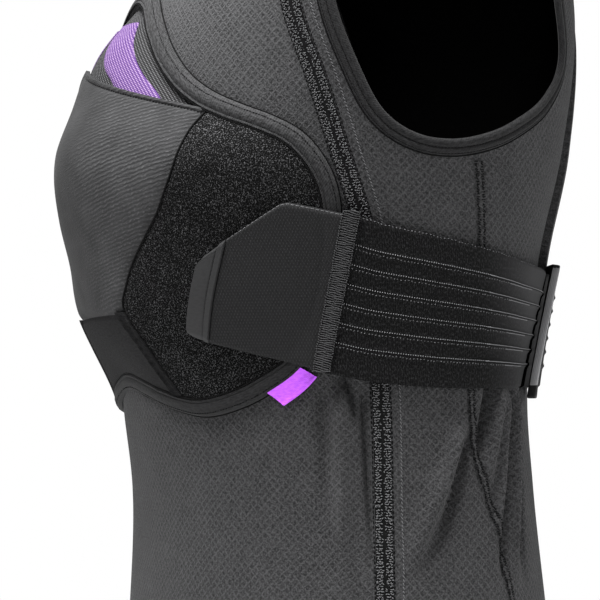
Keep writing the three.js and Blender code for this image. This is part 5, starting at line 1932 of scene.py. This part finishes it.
@dataclass
class BackPad(Assembly):
    """Soft pad on the back, in the same grid knit."""

    outline = Outline(
        -250,
        (0, 18, 28, 34, 36, 35.5, 33, 30, 25, 14, 0),
        (-378, -377, -373, -362, -342, -300, -240, -185, -143, -115, -108),
    )
    lift = SmoothTable((-378, -345, -300, -240, -184, -100), (7, 9, 10, 9, 6.4, 5.6))

    seat: float = 1.8
    edge_share: float = 0.62
    start_share: float = 0.8
    pressure: float = 4.0
    frames: int = 20
    most_puff: float = 5.0
    held_band: float = 10.0
    channel: Ridge = Ridge(-1.6, 8, 1.8)
    border: Ridge = Ridge(0.5, 4, 2.5)
    stitch_sink: float = 1.2

    def puffed(self, outer: Array, inner: Array, uv: Array, held: Array) -> Array:
        """Outer points after the filling has pushed the cloth out.

        Args:
            outer: Outer points by row and column.
            inner: Inner points.
            uv: Cloth coordinates.
            held: Whether each outer point is sewn down.

        Returns:
            The moved outer points.
        """
        made = slab(outer, inner, uv).build("back_pad_start", ())
        count = held.size
        group = made.vertex_groups.new(name="held")
        group.add(np.flatnonzero(held).tolist() + list(range(count, 2 * count)), 1.0, "REPLACE")
        settings = made.modifiers.new("filling", "CLOTH").settings
        settings.vertex_group_mass = group.name
        settings.use_pressure = True
        settings.uniform_pressure_force = self.pressure
        settings.effector_weights.gravity = 0
        scene = bpy.context.scene
        for number in range(1, self.frames + 1):
            scene.frame_set(number)
        shaped = made.evaluated_get(bpy.context.evaluated_depsgraph_get())
        places = np.empty(6 * count, np.float32)
        shaped.data.vertices.foreach_get("co", places)
        mesh = made.data
        bpy.data.objects.remove(made)
        bpy.data.meshes.remove(mesh)
        scene.frame_set(1)
        moved = places[: 3 * count].reshape(outer.shape) / METRES - outer
        reach = np.linalg.norm(moved, axis=-1, keepdims=True)
        LOG.info("back pad puffed by %.2f mm", reach.max())
        return outer + moved * self.most_puff * np.tanh(reach / self.most_puff) / np.maximum(reach, 1e-6)

    def rounding(self, share: Array) -> Array:
        """Share of the thickness left at a share of the radius."""
        return 1 - (1 - self.edge_share) * share**4

    def build(self) -> None:
        """Pad with a sewn channel inside its edge."""
        angle, share = disc(steps=100)
        radius = self.outline.radius(angle)
        turn, z = self.outline.place(angle, share * radius)
        from_edge = (1 - share) * radius
        soft = smoothstep(from_edge, self.held_band, 4 * self.held_band)
        start = lerp(1.0, self.start_share, soft)
        face = self.lift(z) * start * self.rounding(share)
        face = face + self.channel.at(from_edge) + self.border.at(from_edge)
        outer, inner = TORSO.place(180 + turn, z, face), TORSO.place(180 + turn, z, self.seat)
        uv = TORSO.cloth(180 + turn, z)
        outer = self.puffed(outer, inner, uv, from_edge < self.held_band)
        pad = slab(outer, inner, uv)
        made = adopt(pad.build("back_pad_cover", (self.looks.knit,)), Slot.KNIT, "back_pad")
        self.stitches()

    def stitches(self) -> None:
        """Row of stitches in the channel."""
        angle = np.linspace(-math.pi, math.pi, num=300, endpoint=False)
        radius = self.outline.radius(angle)
        rim = radius - self.channel.centre
        turn, z = self.outline.place(angle, rim)
        lift = self.lift(z) * self.rounding(rim / radius) - self.stitch_sink
        row = [closed_line(torso_line(180 + turn, z, lift))]
        self.sew("back_pad_stitches", row, Sewing.HEM, self.looks.dark_thread)


# The studio.


@dataclass(frozen=True)
class Lamp:
    """Soft square lamp: its place, to the right of the camera, back to it and up, its side and its power."""

    name: str
    place: Triple
    side: float
    watts: float


@dataclass
class Studio:
    """Floor, light and camera, in metres."""

    LAMPS = (
        Lamp("key_lamp", (-0.95, 0.95, 1.75), 0.8, 50),
        Lamp("top_lamp", (-0.3, 0.35, 1.9), 0.9, 155),
        Lamp("fill_lamp", (1.6, 0.4, 0.5), 0.8, 16),
    )
    FLOOR = Finish("pale_floor", (0.8, 0.8, 0.8), (0.84, 0.84, 0.84), relief=0.05, roughness=0.9, pitch=6.0)

    floor_z: float = -0.75
    floor_radius: float = 1.7
    azimuth: float = 69
    eye: Triple = (0.9336, -0.3584, -0.3814)
    chest: Triple = (0, 0, -0.32)
    lens: float = 96.8
    sensor: float = 36
    focal_pixels: float = 1612.9
    yaw_pixels: float = 35
    pitch_pixels: float = 100
    ambient: float = 0.26

    def axes(self) -> tuple[Vector, Vector, Vector]:
        """Directions to the right of the camera, back to it, and up."""
        turn = math.radians(self.azimuth)
        right = Vector((math.cos(turn), math.sin(turn), 0))
        back = Vector((math.sin(turn), -math.cos(turn), 0))
        return right, back, Vector((0, 0, 1))

    def camera(self) -> None:
        """Camera at the photograph's angle."""
        right, back, up = self.axes()
        yaw = math.atan(self.yaw_pixels / self.focal_pixels)
        pitch = math.atan(self.pitch_pixels / self.focal_pixels)
        level = -back * math.cos(yaw) - right * math.sin(yaw)
        ahead = level * math.cos(pitch) + up * math.sin(pitch)
        data = bpy.data.cameras.new("camera")
        data.lens = self.lens
        data.sensor_width = self.sensor
        made = link("camera", data)
        made.location = self.eye
        made.rotation_euler = ahead.to_track_quat("-Z", "Y").to_euler()
        bpy.context.scene.camera = made

    def light(self, lamp: Lamp) -> None:
        """Adds a lamp that faces the chest."""
        offset = sum((axis * reach for axis, reach in zip(self.axes(), lamp.place)), Vector())
        data = bpy.data.lights.new(lamp.name, "AREA")
        data.size = lamp.side
        data.energy = lamp.watts
        made = link(lamp.name, data)
        made.location = Vector(self.chest) + offset
        made.rotation_euler = (-offset).to_track_quat("-Z", "Y").to_euler()

    def floor(self) -> None:
        """Plain pale floor."""
        mesh = bpy.data.meshes.new("floor")
        angles = np.linspace(0, 2 * math.pi, num=96, endpoint=False)
        reach = self.floor_radius
        rim = [(reach * math.cos(angle), reach * math.sin(angle), self.floor_z) for angle in angles]
        mesh.from_pydata(rim, [], [list(range(len(rim)))])
        mesh.materials.append(self.FLOOR.material())
        made = link("floor", mesh)

    def backdrop(self) -> bpy.types.World:
        """White backdrop whose light on the part is softer than its own white."""
        world = bpy.data.worlds.new("studio")
        world.use_nodes = True
        tree = world.node_tree
        seen = tree.nodes.new("ShaderNodeLightPath").outputs["Is Camera Ray"]
        strength = add_node(tree, "ShaderNodeMapRange", {"Value": seen, "To Min": self.ambient}, {})
        background = tree.nodes["Background"]
        background.inputs["Color"].default_value = (1, 1, 1, 1)
        tree.links.new(strength.outputs[0], background.inputs["Strength"])
        return world

    def build(self) -> None:
        """The whole studio."""
        scene = bpy.context.scene
        scene.view_settings.view_transform = "Standard"
        scene.world = self.backdrop()
        self.camera()
        self.floor()
        for lamp in self.LAMPS:
            self.light(lamp)


def main() -> None:
    """Builds the protector and its studio."""
    logging.basicConfig(level=logging.INFO, format="%(name)s: %(message)s")
    Studio().build()
    shop = Workshop()
    VestBody(shop).build()
    ChestPad(shop).build()
    for side in Side:
        SideBelt(shop, side).build()
    BackPad(shop).build()


if __name__ == "__main__":
    main()
